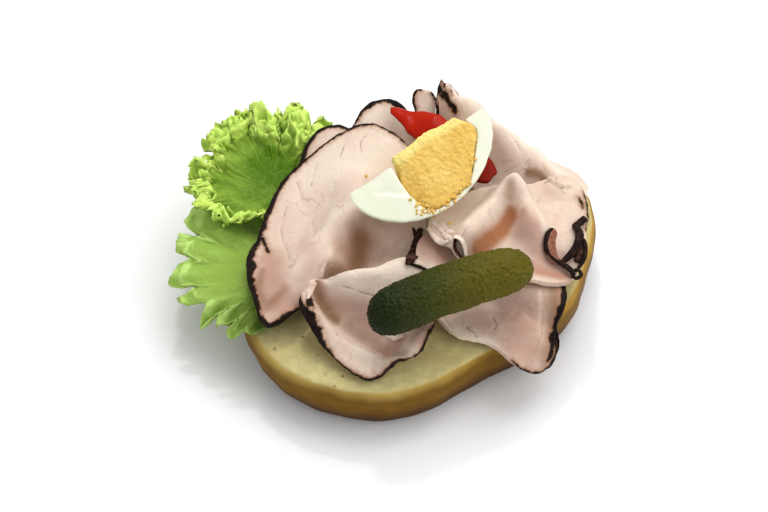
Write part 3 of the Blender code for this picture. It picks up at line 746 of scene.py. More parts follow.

# The slices, all in mm. rind is the first sector that has any and the widths from there on;
# the three tones, in the order of TONES, are (path, radius, strength) patches: the first is painted shade in folds,
# hollows and under flaps, partly the roast's browning, in fold_tone where given; the second a darker mauve, partly
# the meat's pink and partly painted shade; the third the fat's pale colour, partly the pork's fat and partly painted
# highlight on ridges and lit tops; folds are (path, rise, width) ridges or grooves;
# lips are (path, rise, width) flaps that rise on a path's left and end in a step along it, with a dark line of
# painted shade along the step; burns are (path, radius) spots as dark as the rind; pulls are (spot, move, radius).
SLICES = (
    dict(node="pork_left", name="slice_left",
         rind=(3, (0.3, 0.4, 0.7, 0.5, 0.7, 1, 1.2, 1.2, 1.3, 1.5, 2.2, 2.3, 1.8, 1, 0.3)),
         cracks=(((-42.7, 11.9), (-43.8, 7.4), (-44.3, 3.3), (-43.6, -0.4), (-42.2, -4.5), (-40.9, -11)),
                 ((-39.8, 19.8), (-38.8, 16.1), (-37.8, 12.5)), ((-34.7, 4.2), (-34, -0.4), (-34.5, -3.4)),
                 ((-28.2, 16.8), (-28.4, 12.7), (-29.9, 9.1)), ((-24.5, 5.2), (-27.6, 3.6)),
                 ((-33.9, 24.6), (-34.6, 21.5), (-35.5, 17.7)), ((-24.5, 32), (-26.5, 25.5)),
                 ((-18.3, 33), (-20.2, 30), (-19.6, 26.8)), ((-41, -14.3), (-39.2, -12.8))),
         stain=((((-20, -2.5), (-20.5, -7), (-22.5, -12), (-28, -16)), 3.8, 0.95),
                (((-17, -4.7), (-13, -2.5)), 2.8, 0.3),
                (((-49.4, -12.3), (-50.2, -19.7), (-47.9, -25.1), (-45, -23.8), (-42.1, -20.5)), 2, 0.6)),
         blush=((((-24, -6), (-17, -2)), 5.5, 0.8), (((-13, 4), (-5, 3)), 5, 0.35),
                (((-47, -8), (-46, -22), (-40, -26)), 6.5, 0.9), (((-36, -6), (-34, -14)), 5, 0.45)),
         cream=((((-33, -4), (-27, 2), (-20, 6)), 2, 0.6), (((-34, 22), (-22, 24), (-12, 28)), 9, 0.8),
                (((-40, 14), (-38, 2)), 4, 0.4)),
         folds=((((-27, -15), (-21, -7), (-15, -1.5), (-8, 1)), -1.8, 4),
                (((-44, -24), (-36, -8), (-29, 2)), 0.7, 3)),
         pulls=(((-46, -28), (-0.5, -1.6, -1), 3.5),),
         burns=((((-50.1, 0.9), (-49.1, -1.3), (-48, -4.4)), 0.55),)),
    dict(node="pork_front", name="slice_front",
         rind=(11, (0.4, 1.9, 2.2, 0.9, 0.3, 0.1, 0.1, 0.2, 0.1, 0.2, 0.3, 0.5, 0.6, 0.2)),
         cracks=(((-26.6, -34.4), (-26, -35)), ((-16.4, -45), (-15.8, -45.3)), ((-35.2, -24), (-34.6, -29)),
                 ((-25, -21), (-19, -23.5), (-14, -24))),
         stain=((((-33, -21), (-31.5, -25), (-27, -29)), 2.4, 0.9),
                (((-27, -29), (-19, -33), (-12, -37.5), (-8, -40)), 2.8, 0.45)),
         blush=((((-32, -21), (-24, -26), (-15, -31)), 4.5, 0.8), (((-11, -36.5), (-8.5, -36)), 3, 0.9),
                (((-3, -38), (0, -34)), 3, 0.7)),
         cream=((((-28, -18.5), (-17, -17), (-6, -17)), 3.4, 0.9), (((-27, -21), (-16, -22)), 3, 0.6),
                (((-20, -38.5), (-12, -41.5)), 1.8, 0.6)),
         folds=((((-32.1, -24.6), (-29.1, -28.6), (-25.6, -31.7), (-22.1, -33.7), (-18.3, -35.4), (-14.5, -37.4),
                 (-10.9, -39.3), (-7.5, -40.6)), -2.3, 2.2),
                (((-33.5, -29.5), (-26, -36.5), (-16, -40.5), (-9, -43.5)), 1.1, 2.6),
                (((-32.1, -22.5), (-29.8, -25.3), (-26.8, -27)), -1, 2.2)),
         pulls=(((-24.2, -17), (0, -3.2, 0), 7), ((-19.5, -15), (0, -2.4, 0), 5.5), ((-14, -14), (0, -1.6, 0), 5))),
    dict(node="pork_right", name="slice_right",
         rind=(0, (0.1, 0.3, 0.3)),
         cracks=(((10.4, -8.9), (11.6, -7), (13.2, -4.2)), ((46, 11.6), (48.4, 9.8)), ((37, 17.5), (40.8, 19.2)),
                 ((28, 10.5), (31.5, 8), (33, 4))),
         stain=((((25.2, 5.2), (25.5, 3.2)), 3, 0.5),
                (((25.4, 0.6), (23.2, -2.8), (19.6, -6.6), (15.5, -10.5)), 2.6, 1.1),
                (((26, 2), (28, 0)), 3, 0.5), (((32.3, -15.3), (37, -14.7), (41.8, -14.8)), 2, 0.45),
                (((39.5, 3), (40, 6)), 1.6, 0.3)),
         blush=((((30, -4), (38, -12)), 6, 0.8), (((31, -13), (42, -15)), 3, 1), (((30, 14), (40, 15)), 4, 0.4)),
         cream=((((26.6, 10), (19, 3.5), (12, -4)), 1.5, 0.8),
                (((28.5, 8), (33, 5.5), (35, 0), (36, -4)), 1.8, 0.6), (((40, 8), (46, 6)), 5, 0.25)),
         folds=((((25.2, 4.4), (20.2, -3.3), (13, -11.3)), -1, 2.4),),
         lips=((((35.1, 9.6), (41.6, 12.1), (45.3, 11.7), (48.6, 9.6)), -0.8, 3),
               (((32.3, 22.5), (36.3, 21.4), (38.5, 18.3), (41.8, 16), (46.9, 16.8)), 0.7, 3)),
         burns=((((47.6, 13.3), (48.4, 11.6), (48.6, 9.6)), 0.35),),
         # the orange of the painted shade in this slice's V-shaped fold
         fold_tone=(0.36, 0.115, 0.03)),
    dict(node="pork_right_front", name="slice_right_front",
         rind=(19, (0.2, 0.4, 0.7, 1.2, 1.5, 1.4, 1.3)),
         cracks=(((12.1, -29.6), (13, -31), (13.9, -31.6), (14.6, -33.4)),
                 ((19.5, -26), (20.6, -29), (19.8, -31)), ((5, -27), (7.5, -30))),
         stain=((((12, -28), (22, -35)), 4, 0.35), (((36.5, -36), (38.6, -29), (38.4, -20)), 4.4, 0.8)),
         blush=((((-2, -2), (4, -8)), 6, 0.9), (((27, -25), (28, -36)), 9, 0.8), (((12, -24), (20, -30)), 6, 0.6)),
         cream=((((8, -31), (20, -37.5)), 2, 0.5), (((2, -13), (6, -14)), 2.5, 0.7)),
         folds=((((20, -19), (28, -23.4), (36, -26.2)), -0.9, 2.4),),
         lips=((((31, -39), (34.2, -31), (34, -18)), 0.7, 2.5),),
         pulls=(((19, -36), (0, 1.4, 0), 4), ((10, -31), (-0.6, -1, 0), 4)),
         walls=False),
    dict(node="pork_back_left", name="slice_back_left",
         rind=(3, (0.4, 0.5, 0.8, 1.1, 1, 1.2, 1.1, 0.8)),
         stain=((((-38, 26), (-33, 32)), 4, 0.3),),
         cream=((((-30, 33), (-24, 34)), 5, 0.8),)),
    dict(node="pork_back", name="slice_back",
         rind=(3, (0.8, 1.6, 1.7, 1, 0.7, 0.6, 0.5, 0.4)),
         cream=((((-16, 40), (-8, 42)), 6, 0.9),)),
    dict(node="pork_back_middle", name="slice_back_middle",
         rind=(1, (0.2, 0.3, 0.4, 0.3, 0.3, 0.2, 0.4, 0.5, 0.5, 0.6, 0.5, 0.4, 0.2)),
         stain=((((-3, 46), (-3, 42)), 1.2, 0.4),),
         cream=((((1, 42), (1.5, 45)), 4, 0.6),)),
    dict(node="pork_back_right", name="slice_back_right",
         rind=(9, (0.1, 0.3, 0.4, 0.1)),
         cracks=(((27, 31.1), (29, 29.8), (29.8, 28.2)),),
         burns=((((3.9, 44.6), (6.6, 41.6), (9.7, 38)), 0.75),),
         stain=((((20, 31), (23.6, 28.9), (25.2, 26.6)), 2.6, 0.3),
                (((32.3, 22.5), (36.3, 21.4), (39.8, 18.7)), 1.4, 0.9)),
         blush=((((18, 33), (26, 26)), 4, 0.5),),
         cream=((((9, 43), (14, 40)), 5, 0.7), (((28, 34), (40, 28)), 6, 0.9), (((12, 40), (20, 37)), 2, 0.5)),
         lips=((((36.3, 24.1), (37.6, 22.6), (38.9, 21.3)), 0.5, 2),),
         pulls=(((12.5, 43.5), (0, -2.6, -0.4), 6), ((24, 36), (0, 1.2, 0.6), 5))),
)


def pork_finish(name, colours, fold_tone):
    """Roast pork: pale and pink meat with fine grain and dark cracks, browned towards a nearly black rind."""
    finish = Finish(name)
    rind, crack, stain, blush, cream = finish.marks("rind", "crack", *TONES)
    patch = finish.clouds(11 * MM, detail=3, distortion=0.6)
    fleck = finish.clouds(2.6 * MM, detail=4, roughness=0.6)
    fibre = finish.clouds(1.1 * MM, detail=2, place=finish.stretched((1, 0.22, 1), (0, 0, 0.6)))
    mild = finish.clouds(5 * MM, detail=2) - 0.5
    here = finish.step(finish.clouds(8 * MM, detail=1), 0.50, 0.62)
    hair = (1 - finish.step(finish.web(9 * MM, 7 * MM, 9 * MM), 0.006, 0.030)) * here
    seam = (1 - finish.step(finish.web(6 * MM, 5 * MM, 6 * MM), 0.01, 0.07)) * finish.step(patch, 0.42, 0.60)
    ragged = (finish.clouds(1.6 * MM, detail=4, roughness=0.65) - 0.5) * 2.4
    broken = finish.step(finish.clouds(4.5 * MM, detail=2), 0.40, 0.54)
    split = (1 - finish.step(crack + ragged * 0.18, 0.02, 0.30)) * broken
    burnt = rind + ragged * 0.6
    black = finish.step(burnt, -0.05, 0.25)
    glint = finish.clouds(0.8 * MM, detail=3)
    dark = finish.layers(colours.rind, (finish.step(glint, 0.5, 0.75) * 0.5, toned(colours.brown, 0.33)))
    meat = finish.layers(
        colours.meat,
        (finish.step(patch, 0.36, 0.68) * 0.35, colours.blush),
        (finish.step(fleck, 0.5, 0.75) * 0.34, colours.fat),
        (finish.step(1 - fleck, 0.5, 0.72) * 0.22, toned(colours.blush, 0.8)),
        (finish.step(fibre, 0.5, 0.8) * 0.20, colours.fat),
        (hair * 0.30, toned(colours.roast, 0.9)),
        (seam * 0.14, colours.fat),
        # darker mauve: partly the meat's pink, partly painted shade in valleys and hollows
        (finish.step(blush + mild * 0.35, 0.05, 1.0) * 0.9, toned(colours.blush, 0.72, 0.60, 0.58)),
        # the fat's pale colour: partly the pork's fat, partly painted highlight on ridges and lit tops
        (finish.step(cream, 0.0, 1.0) * 0.85, colours.fat),
        # painted shade in folds, hollows and under flaps, partly the roast's browning
        (finish.step(stain + mild * 0.3, 0.05, 1.0) * 0.9, fold_tone or colours.roast),
        (split * 0.6, toned(colours.brown, 0.5)),
        (finish.step(rind + ragged * 1.1, -2.0, 0.2) * 0.5, (0.40, 0.20, 0.12)),
        (finish.step(burnt, -0.55, 0.1) * 0.8, colours.brown),
        (black, dark))
    relief = fleck * 0.35 + fibre * 0.35 + glint * black * 1.2 - split * 1.0 - hair * 0.6 + seam * 0.3
    return finish.shade(meat, 0.5 + fleck * 0.16, finish.bump(relief, 0.2 * MM, 0.55),
                        reflection=0.10, soft=0.08, depth=(1.6, 0.7, 0.4))


def outermost(edges, middle, bins=36, keep=0.82):
    """Those edges that are furthest from the slice's middle in their direction."""
    spots = [(edge.verts[0].co + edge.verts[1].co) / 2 - middle for edge in edges]
    reach = np.array([math.hypot(p.x, p.y) for p in spots])
    sector = np.array([int(math.atan2(p.y, p.x) % FULL_TURN / FULL_TURN * bins) % bins for p in spots])
    furthest = np.zeros(bins)
    np.maximum.at(furthest, sector, reach)
    return [edge for edge, r, k in zip(edges, reach, sector) if r > keep * furthest[k]]


def held_rim(piece, middle):
    """Creases the slice's sharp outer edge, and gives points along it."""
    shell = bmesh.new()
    shell.from_mesh(piece.data)
    crease = shell.edges.layers.float.new("crease_edge")
    sharp = [e for e in shell.edges if len(e.link_faces) == 2 and e.calc_face_angle(0.0) > SHARP]
    rim = []
    for edge in outermost(sharp, middle):
        edge[crease] = RIM_CREASE
        start, end = (v.co for v in edge.verts)
        count = max(1, int((end - start).length / (0.5 * MM)))
        rim += [start.lerp(end, k / count) for k in range(count)]
    shell.to_mesh(piece.data)
    shell.free()
    return rim


def patches(spots, rows):
    """How strong the (path, radius, strength) patches are at each spot."""
    value = np.zeros(len(spots))
    for path, radius, strength in rows:
        value = np.maximum(value, strength * bell(nearest(spots, flat(sampled(path))), radius))
    return value


def pork_slice(sizes, colours, node, name, rind, cracks=(), stain=(), blush=(), cream=(), folds=(), lips=(),
               pulls=(), burns=(), walls=True, fold_tone=None):
    """A slice from its CAD solid: finer, with swells, folds and cracks, and a lumpy rind along its edge."""
    low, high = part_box(node)
    middle = (low + high) / 2
    piece = copy_of(node, name)
    rim = held_rim(piece, middle)
    subdivide_held(piece, 3)
    points = points_of(piece)
    spots = flat(points / MM)
    to_edge = nearest(points, rim) / MM
    angle = np.arctan2(points[:, 1] - middle.y, points[:, 0] - middle.x) % FULL_TURN
    first, wide = rind
    widths = [NO_RIND] * SECTORS
    for k, width in enumerate(wide):
        widths[(first + k) % SECTORS] = width
    widths = all_round(widths, angle / FULL_TURN)
    depth = widths * (1 + 0.45 * rough(points, 4.0, 3.0)) + 0.15 - to_edge
    if walls:
        wall = (1 - smooth(np.abs(normals_of(piece)[:, 2]), 0.35, 0.75)) * smooth(-to_edge, -1.1, -0.8)
        depth = np.where((widths > -1.0) & (wall > 0.3), np.maximum(depth, 0.5), depth)
    for path, radius in burns:
        depth = np.maximum(depth, radius - nearest(spots, flat(sampled(path, 0.25))))
    crack = np.full(len(points), NO_CRACK)
    if cracks:
        targets = [p for path in cracks for p in flat(sampled(path, 0.25))]
        crack = np.minimum(nearest(spots, targets), crack)
    for path, rise, width in folds:
        points[:, 2] += rise * MM * bell(nearest(spots, flat(sampled(path))), width)
    for path, rise, width in lips:
        away, left, share = beside(spots, path)
        height = smooth(np.where(left, away, -away), -0.25, 0.25) * bell(away, width)
        points[:, 2] += rise * MM * height * smooth(np.minimum(share, 1 - share), 0.0, 0.15)
        # a dark line painted along the lip's step as its shade, drawn like a crack
        crack = np.where((share > 0.05) & (share < 0.95), np.minimum(crack, away + 0.06), crack)
    points[:, 2] -= 0.3 * MM * bell(crack, 0.45)
    put_points(piece, pull(points, pulls))
    write_mark(piece, "rind", np.clip(depth, -6, 6))
    write_mark(piece, "crack", crack)
    for tone, rows in zip(TONES, (stain, blush, cream)):
        write_mark(piece, tone, patches(spots, rows))
    write_group(piece, "rind_lumps", smooth(depth, -0.6, 0.4))
    write_group(piece, "rim_lumps", smooth(-to_edge, -1.6, -0.4))
    swell(piece, 7 * MM, sizes.meat_swell, depth=2)
    swell(piece, 1.6 * MM, sizes.meat_grain, depth=2)
    swell(piece, 1.7 * MM, sizes.rind_grain, "rind_lumps", depth=3)
    swell(piece, 2.6 * MM, 0.5 * MM, "rim_lumps", depth=2)
    piece.vertex_groups.clear()
    settle(piece, pork_finish(name + "_meat", colours, fold_tone), "pork", node)


class SANDWICH_OT_pork(bpy.types.Operator):
    """Finishes the slices of roast pork"""
    bl_idname = "sandwich.pork"
    bl_label = "Pork slices"

    def execute(self, context):
        sizes, colours = settings(context)
        for row in SLICES:
            pork_slice(sizes, colours, **row)
        return {"FINISHED"}


# ------------------------------------------------------------------ curled ends

# the loose strips: name, look, thickness, lift, lean in degrees, height of the lumps, widths along the strip,
# and its path of (x, y, rise above what lies under it), in mm
STRIPS = (
    # the curl's inner wall, in the darker red of painted shade
    ("curl_wall", "ruddy", 1, 0.6, 18, 0.35, (2.2, 4.6, 4.6, 3.8, 1.6),
     ((39.2, -1.6, 0.1), (37.9, -4.6, 0.5), (37.4, -7.6, 0.6), (38.4, -9.9, 0.6), (41, -11.2, 0.4))),
    ("curl_edge_left", "rind", 1.4, 0.5, 0, 0.35, (0.9, 1.5, 1.5, 1.2, 1.5, 2, 1.6),
     ((38.2, -1.6, 0.6), (36.3, -5, 1), (35.7, -7.6, 1.2), (37, -9.9, 1.2), (40.2, -11.6, 1.2), (43, -13.4, 1.2),
      (44, -15.6, 0.9))),
    ("curl_edge_right", "rind", 1.9, 0.6, 0, 0.35, (1.6, 2.9, 2.6, 2.4, 2.2, 1.2),
     ((45.2, 1.8, 0.6), (46.4, -1.4, 1.2), (46, -4.6, 1.4), (44.6, -7.4, 1.2), (42.4, -9.8, 1),
      (40.4, -11.2, 0.8))),
    ("curl_outer", "rind", 1.4, 0.5, 0, 0.35, (1, 1.5, 1.4, 1.4, 1),
     ((46.6, -2, 0.4), (47.9, -5, 0.6), (47.9, -8, 0.6), (46.9, -10.8, 0.5), (45.2, -13, 0.5))),
    # a dark sheet that paints the shade in the curl's hollow
    ("curl_fill", "scorched", 1, 0.3, 0, 0.35, (2.4, 4.2, 2.2),
     ((46.6, -4, 0), (46.6, -7, 0.2), (45.4, -10.4, 0.1))),
    ("curl_ring", "rind", 1.3, 0.5, 0, 0.35, (1.1, 1.3, 1.3, 1.3, 1),
     ((44.3, -12.8, 0.3), (45.9, -13.2, 0.5), (46.2, -15, 0.5), (44.8, -16.2, 0.3), (43.4, -15.2, 0.3))),
    ("curl_tip", "rind", 2.2, 0.6, 0, 0.35, (1.8, 2.4, 2.2),
     ((44.9, 1.4, 0.3), (47, 3, 0.8), (49, 4.6, 1.4))),
    ("rind_scrap", "scorched", 1.4, 0.6, 10, 0.9, (1.2, 3.2, 2.6, 3.6, 2.8, 3.2, 1.4),
     ((-1.4, 1.7, 1.2), (-2.3, -0.8, 1.6), (-3.4, -3.8, 2), (-3.9, -8, 2.6), (-4.3, -11.5, 3.2), (-4.9, -14.9, 1),
      (-5.6, -16.4, 0.3))),
    ("rind_horn", "scorched", 1, 0.5, 0, 0.5, (0.7, 1.3, 1.5),
     ((-4, 3.2, 0.6), (-3.4, 1.4, 1.2), (-2.9, -0.6, 1.5))),
    ("rind_line", "rind", 0.7, 0.2, 0, 0.35, (0.5, 0.9, 1.1, 0.9),
     ((-6.5, -15.6, 0.2), (-3.5, -16.2, 0.2), (-0.6, -17.2, 0.2), (2.2, -18.9, 0.2))),
)
# the paths of the pale frayed edges, which are otherwise alike
FRAYS = (
    ((-0.2, 3.4, 0), (0.8, 0, 0), (1.5, -2.6, 0), (4.1, -6.3, 0), (6.6, -7.7, 0)),
    ((1.8, 1.2, 0), (4.2, -0.8, 0), (5.9, -4.6, 0), (8.2, -9.6, 0)),
    ((4.4, 1.2, 0), (6.2, -1.8, 0), (8, -5, 0)),
)
# the scraps of pale fat, set out as the strips are
FAT_SCRAPS = (
    ("fat_strand", "lean", 0.7, 0.2, 0, 0.5, (0.8, 1.8, 2.4, 2.2, 1),
     ((-30.2, -14, 0.3), (-31.4, -16.6, 0.6), (-33.2, -20, 0.5), (-34.4, -23.4, 0.3), (-34.9, -27, 0.1))),
    ("fat_bit", "fat", 0.8, 0.2, 0, 0.5, (0.8, 2, 1),
     ((-12.2, -33.2, 0.2), (-9.4, -34.4, 0.3), (-6.8, -34.8, 0.2))),
)


def curve_through(path, count):
    """Evenly numbered points on a smooth curve through a path's points."""
    path = np.array(path, float)
    ends = np.concatenate([[2 * path[0] - path[1]], path, [2 * path[-1] - path[-2]]])
    made = []
    for share in np.linspace(0, len(path) - 1, count):
        k = min(int(share), len(path) - 2)
        t = share - k
        a, b, c, d = ends[k:k + 4]
        made.append((2 * b + (c - a) * t + (2 * a - 5 * b + 4 * c - d) * t ** 2
                     + (3 * b - a - 3 * c + d) * t ** 3) * 0.5)
    return np.array(made)


def strip(tree, name, thickness, lift, lean, lumps, widths, path, sides=14):
    """A soft strip laid along a path, in mm, over the pieces in a tree."""
    size = sum(math.dist(a[:2], b[:2]) for a, b in zip(path, path[1:]))
    count = max(8, int(size / 0.45))
    line = curve_through(path, count)
    width = np.interp(np.linspace(0, len(widths) - 1, count), range(len(widths)), widths)
    heights, ups = [], []
    for x, y, rise in line:
        hit, normal = drop(tree, x, y, 30)
        heights.append(hit.z / MM + rise + lift)
        ups.append(tuple(normal if normal.z > 0 else -normal))
    heights, ups = np.array(heights), np.array(ups)
    for _ in range(6):
        heights[1:-1] = (heights[:-2] + heights[1:-1] + heights[2:]) / 3
        ups[1:-1] = (ups[:-2] + ups[1:-1] + ups[2:]) / 3
    middle = np.column_stack([line[:, :2], heights])
    lean = math.radians(lean)
    points = []
    for spot, ahead, up, across in zip(middle, np.gradient(middle, axis=0), ups, width):
        forward = Vector(ahead).normalized()
        side = forward.cross(Vector(up).normalized()).normalized()
        up = side.cross(forward)
        side, up = side * math.cos(lean) + up * math.sin(lean), up * math.cos(lean) - side * math.sin(lean)
        for turn in (FULL_TURN * j / sides for j in range(sides)):
            wide, high = math.cos(turn) * across / 2, math.sin(turn) * min(thickness, across) / 2
            points.append((Vector(spot) + side * wide + up * high) * MM)
    faces = [(k * sides + j, k * sides + (j + 1) % sides, (k + 1) * sides + (j + 1) % sides, (k + 1) * sides + j)
             for k in range(count - 1) for j in range(sides)]
    faces += [tuple(range(sides)), tuple(range((count - 1) * sides, count * sides))]
    piece = new_piece(name, points, faces)
    subdivide(piece, 1)
    swell(piece, 2.2 * MM, lumps * MM, depth=2)
    swell(piece, 0.9 * MM, lumps * 0.5 * MM, depth=2)
    return piece


def strip_finish(name, first, second, size, relief=0.3):
    finish = Finish(name)
    patch = finish.clouds(size * MM, detail=4, roughness=0.6)
    skin = finish.layers(first, (finish.step(patch, 0.42, 0.66), second))
    return finish.shade(skin, 0.6 + patch * 0.1, finish.bump(patch, relief * MM, 0.6), reflection=0.10)


def lay_strips(table, looks, tree):
    """Adds the strips of a table, over the pieces in a tree."""
    for name, look, *shape in table:
        stands_for = ["pork_curl"] if name == "curl_wall" else []
        settle(strip(tree, name, *shape), looks[look], "pork", *stands_for)


def rolled_end(centre, axis, up, radii, size, wall):
    """The open end of a rolled slice: a short oval tube whose inside is painted dark as shade, drawn shut at its far
    end; mm.
    """
    bpy.ops.object.select_all(action="DESELECT")
    bpy.ops.mesh.primitive_cylinder_add(vertices=28, radius=1.0, depth=1.0, end_fill_type="NOTHING")
    piece = bpy.context.view_layer.objects.active
    piece.name = "rolled_end"
    edit(piece, lambda: bpy.ops.mesh.subdivide(number_cuts=3))
    centre = Vector(centre)
    along = Vector(axis).normalized()
    side = along.cross(Vector(up)).normalized()
    top = side.cross(along)
    made = []
    for x, y, z in points_of(piece):
        share = 1 if z > -0.4 else 0.12
        pinch = 1 + 0.12 * math.sin(3 * math.atan2(y, x) + z * 2)
        spot = centre + side * (x * radii[0] * share * pinch) + top * (y * radii[1] * share) + along * (z * size)
        made.append(tuple(spot * MM))
    put_points(piece, np.array(made))
    edit(piece, turn_outward)
    apply(piece, "SOLIDIFY", thickness=wall * MM, offset=-1)
    subdivide(piece, 1)
    swell(piece, 2.0 * MM, 0.35 * MM, depth=2)
    # a face that looks towards the tube's middle line is inside
    inward = []
    for point, normal in zip(points_of(piece) / MM, normals_of(piece)):
        away = Vector(point) - centre
        inward.append(-Vector(normal).dot(away - along * away.dot(along)))
    write_mark(piece, "inside", smooth(np.array(inward), 0.0, 0.6))
    return piece


class SANDWICH_OT_pork_ends(bpy.types.Operator):
    """Models the curled, rolled and frayed ends of the pork"""
    bl_idname = "sandwich.pork_ends"
    bl_label = "Pork ends"

    def execute(self, context):
        colours = context.scene.sandwich_colours
        tree = surface_of([o.name for o in bpy.data.objects if o.name.startswith("slice_")])
        looks = {
            "rind": strip_finish("loose_rind", colours.rind, toned(colours.brown, 0.16), 1.6, relief=0.4),
            "fat": strip_finish("loose_fat", colours.fat, colours.meat, 2.4),
            "lean": strip_finish("loose_lean", colours.meat, colours.blush, 2.4),
            # meat red darkened as painted shade, for the curl's inner wall
            "ruddy": strip_finish("ruddy_meat", (0.24, 0.085, 0.05), (0.38, 0.18, 0.12), 1.4),
            # near-black rind, also used as the painted shade in the curl's hollow
            "scorched": strip_finish("scorched_rind", (0.022, 0.008, 0.006), (0.090, 0.036, 0.022), 1.6, relief=0.4),
        }
        frays = [(f"frayed_edge_{k}", "fat", 0.7, 0.15, 0, 0.6, (0.8, 1.9, 1.3, 2, 0.9), path)
                 for k, path in enumerate(FRAYS, 1)]
        lay_strips([*STRIPS, *frays], looks, tree)

        rolled = rolled_end((9.9, -10.8, 36.6), axis=(-0.25, -0.80, 0.50), up=(-0.4, 0.5, 0.8),
                            radii=(2.0, 4.2), size=4.0, wall=0.9)
        finish = Finish("rolled_end_meat")
        patch = finish.clouds(1.8 * MM, detail=3)
        skin = finish.layers(colours.fat, (finish.step(patch, 0.4, 0.65), colours.meat),
                             # painted shade inside the tube
                             (finish.mark("inside"), (0.11, 0.035, 0.025)))
        settle(rolled, finish.shade(skin, 0.6, finish.bump(patch, 0.2 * MM, 0.5), reflection=0.16), "pork")

        lay_strips(FAT_SCRAPS, looks, tree)
        return {"FINISHED"}


# ------------------------------------------------------------------ egg

# the directions along the egg wedge, down its cut face and out of that face
EGG_AXES = np.array([(0.82106808, 0.53069035, 0.21027353), (0.55066816, -0.63933325, -0.53667269),
                     (0.15037215, -0.55643576, 0.8171704)])
EGG_LIP = 3.2                   # how far the white stands above the egg's middle line, in mm
# the yolk's lower edge, along and down from the egg's middle, in mm
YOLK_EDGE = np.array([(-9.5, 8), (-9, 11.8), (-7.4, 13), (-5.7, 14.6), (-3.9, 15.4), (-1.1, 15.2), (2.2, 14.8),
                      (5.3, 14.2), (7.5, 14.4), (10, 12.4), (12.8, 9)])
# loose crumbs on the pork: x, y and size, in mm
LOOSE_CRUMBS = ((-18.2, 16.7, 0.75), (-2.9, -1.2, 0.55), (7.1, 0.8, 0.6), (13.2, 7.9, 0.5), (-17, 14.8, 0.35))
EDGE_CRUMBS, SIDE_CRUMBS = 46, 16


def white_finish(colours):
    finish = Finish("boiled_egg_white")
    relief = finish.clouds(2.5 * MM, detail=3)
    tint = finish.step(finish.clouds(13 * MM, detail=2), 0.42, 0.72) * 0.6
    skin = finish.layers(colours.white, (tint, (0.80, 0.86, 0.56)))
    return finish.shade(skin, 0.26 + relief * 0.12, finish.bump(relief, 0.15 * MM, 0.3),
                        soft=0.2, depth=(1.2, 1.4, 1.0))


def yolk_finish(colours):
    finish = Finish("boiled_egg_yolk")
    crumbs = finish.clouds(1.1 * MM, detail=5, roughness=0.65)
    patch = finish.clouds(6 * MM, detail=3)
    skin = finish.layers(
        colours.yolk,
        (finish.step(patch, 0.4, 0.7) * 0.75, (0.90, 0.66, 0.19)),
        (finish.step(crumbs, 0.5, 0.72) * 0.5, (0.93, 0.72, 0.26)),
        ((1 - finish.step(crumbs, 0.3, 0.45)) * 0.45, (0.80, 0.46, 0.08)),
        (finish.mark("top") * 0.7, (1.0, 0.86, 0.30)),
        (finish.mark("low") * 0.3, (0.84, 0.52, 0.11)))
    return finish.shade(skin, 0.78, finish.bump(crumbs, 0.5 * MM, 0.9),
                        reflection=0.2, soft=0.1, depth=(1.2, 0.7, 0.2))


def egg_middle():
    """The middle of the wedge's cut face, at the egg's middle line, in mm."""
    along, down, out = EGG_AXES
    solid = points_of(frame["nodes"]["egg_white"]) / MM @ EGG_AXES.T
    low, high = solid.min(0), solid.max(0)
    return along * (low[0] + high[0]) / 2 + down * (low[1] + EGG_LIP) + out * (high[2] + 0.05)


def on_egg(points, middle):
    """How far points lie from the egg's middle along it, down its cut face and out of that face, in mm."""
    return ((points / MM - middle) @ EGG_AXES.T).T


def finish_white(colours, middle):
    low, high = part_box("egg_white")
    white = copy_of("egg_white", "egg_white_wedge")
    remesh(white, 0.45 * MM, 6)
    points = points_of(white)
    _, down, out = on_egg(points, middle)
    lip = smooth(out, -5.0, -1.5) * smooth(-down, -3.0, 0.6)
    put_points(white, points - np.outer(lip * out * 0.85, EGG_AXES[2]) * MM)
    swell(white, 9 * MM, 0.5 * MM)
    keep_within(white, low, high)
    settle(white, white_finish(colours), "egg_white", "egg_white")


def finish_yolk(sizes, look, middle):
    """The yolk, grown a little, raised at its top and drawn in and flush with the white at its left."""
    yolk = copy_of("egg_yolk", "egg_yolk_wedge")
    remesh(yolk, 0.38 * MM, 2)
    put_points(yolk, points_of(yolk) + normals_of(yolk) * 0.36 * MM)
    points = points_of(yolk)
    along, down, out = on_egg(points, middle)
    raised = bell(along - 5.0, 5.0) * smooth(-down, 0.5, 3.5) * 0.9
    drawn_in = smooth(-along, 6.5, 9.5) * smooth(-down, -4.0, 1.0) * 1.6
    flush = smooth(-along, 3.0, 9.0) * smooth(out, -3.0, -1.0) * 1.1
    put_points(yolk, points + np.column_stack([drawn_in, -raised, -flush]) @ EGG_AXES * MM)
    write_mark(yolk, "top", smooth(-down, 1.5, 3.5))
    write_mark(yolk, "low", smooth(down, 7.0, 15.0))
    swell(yolk, 5 * MM, 0.55 * MM, depth=2)
    swell(yolk, 1.1 * MM, sizes.yolk_grain, depth=3)
    settle(yolk, look, "egg_yolk", "egg_yolk")


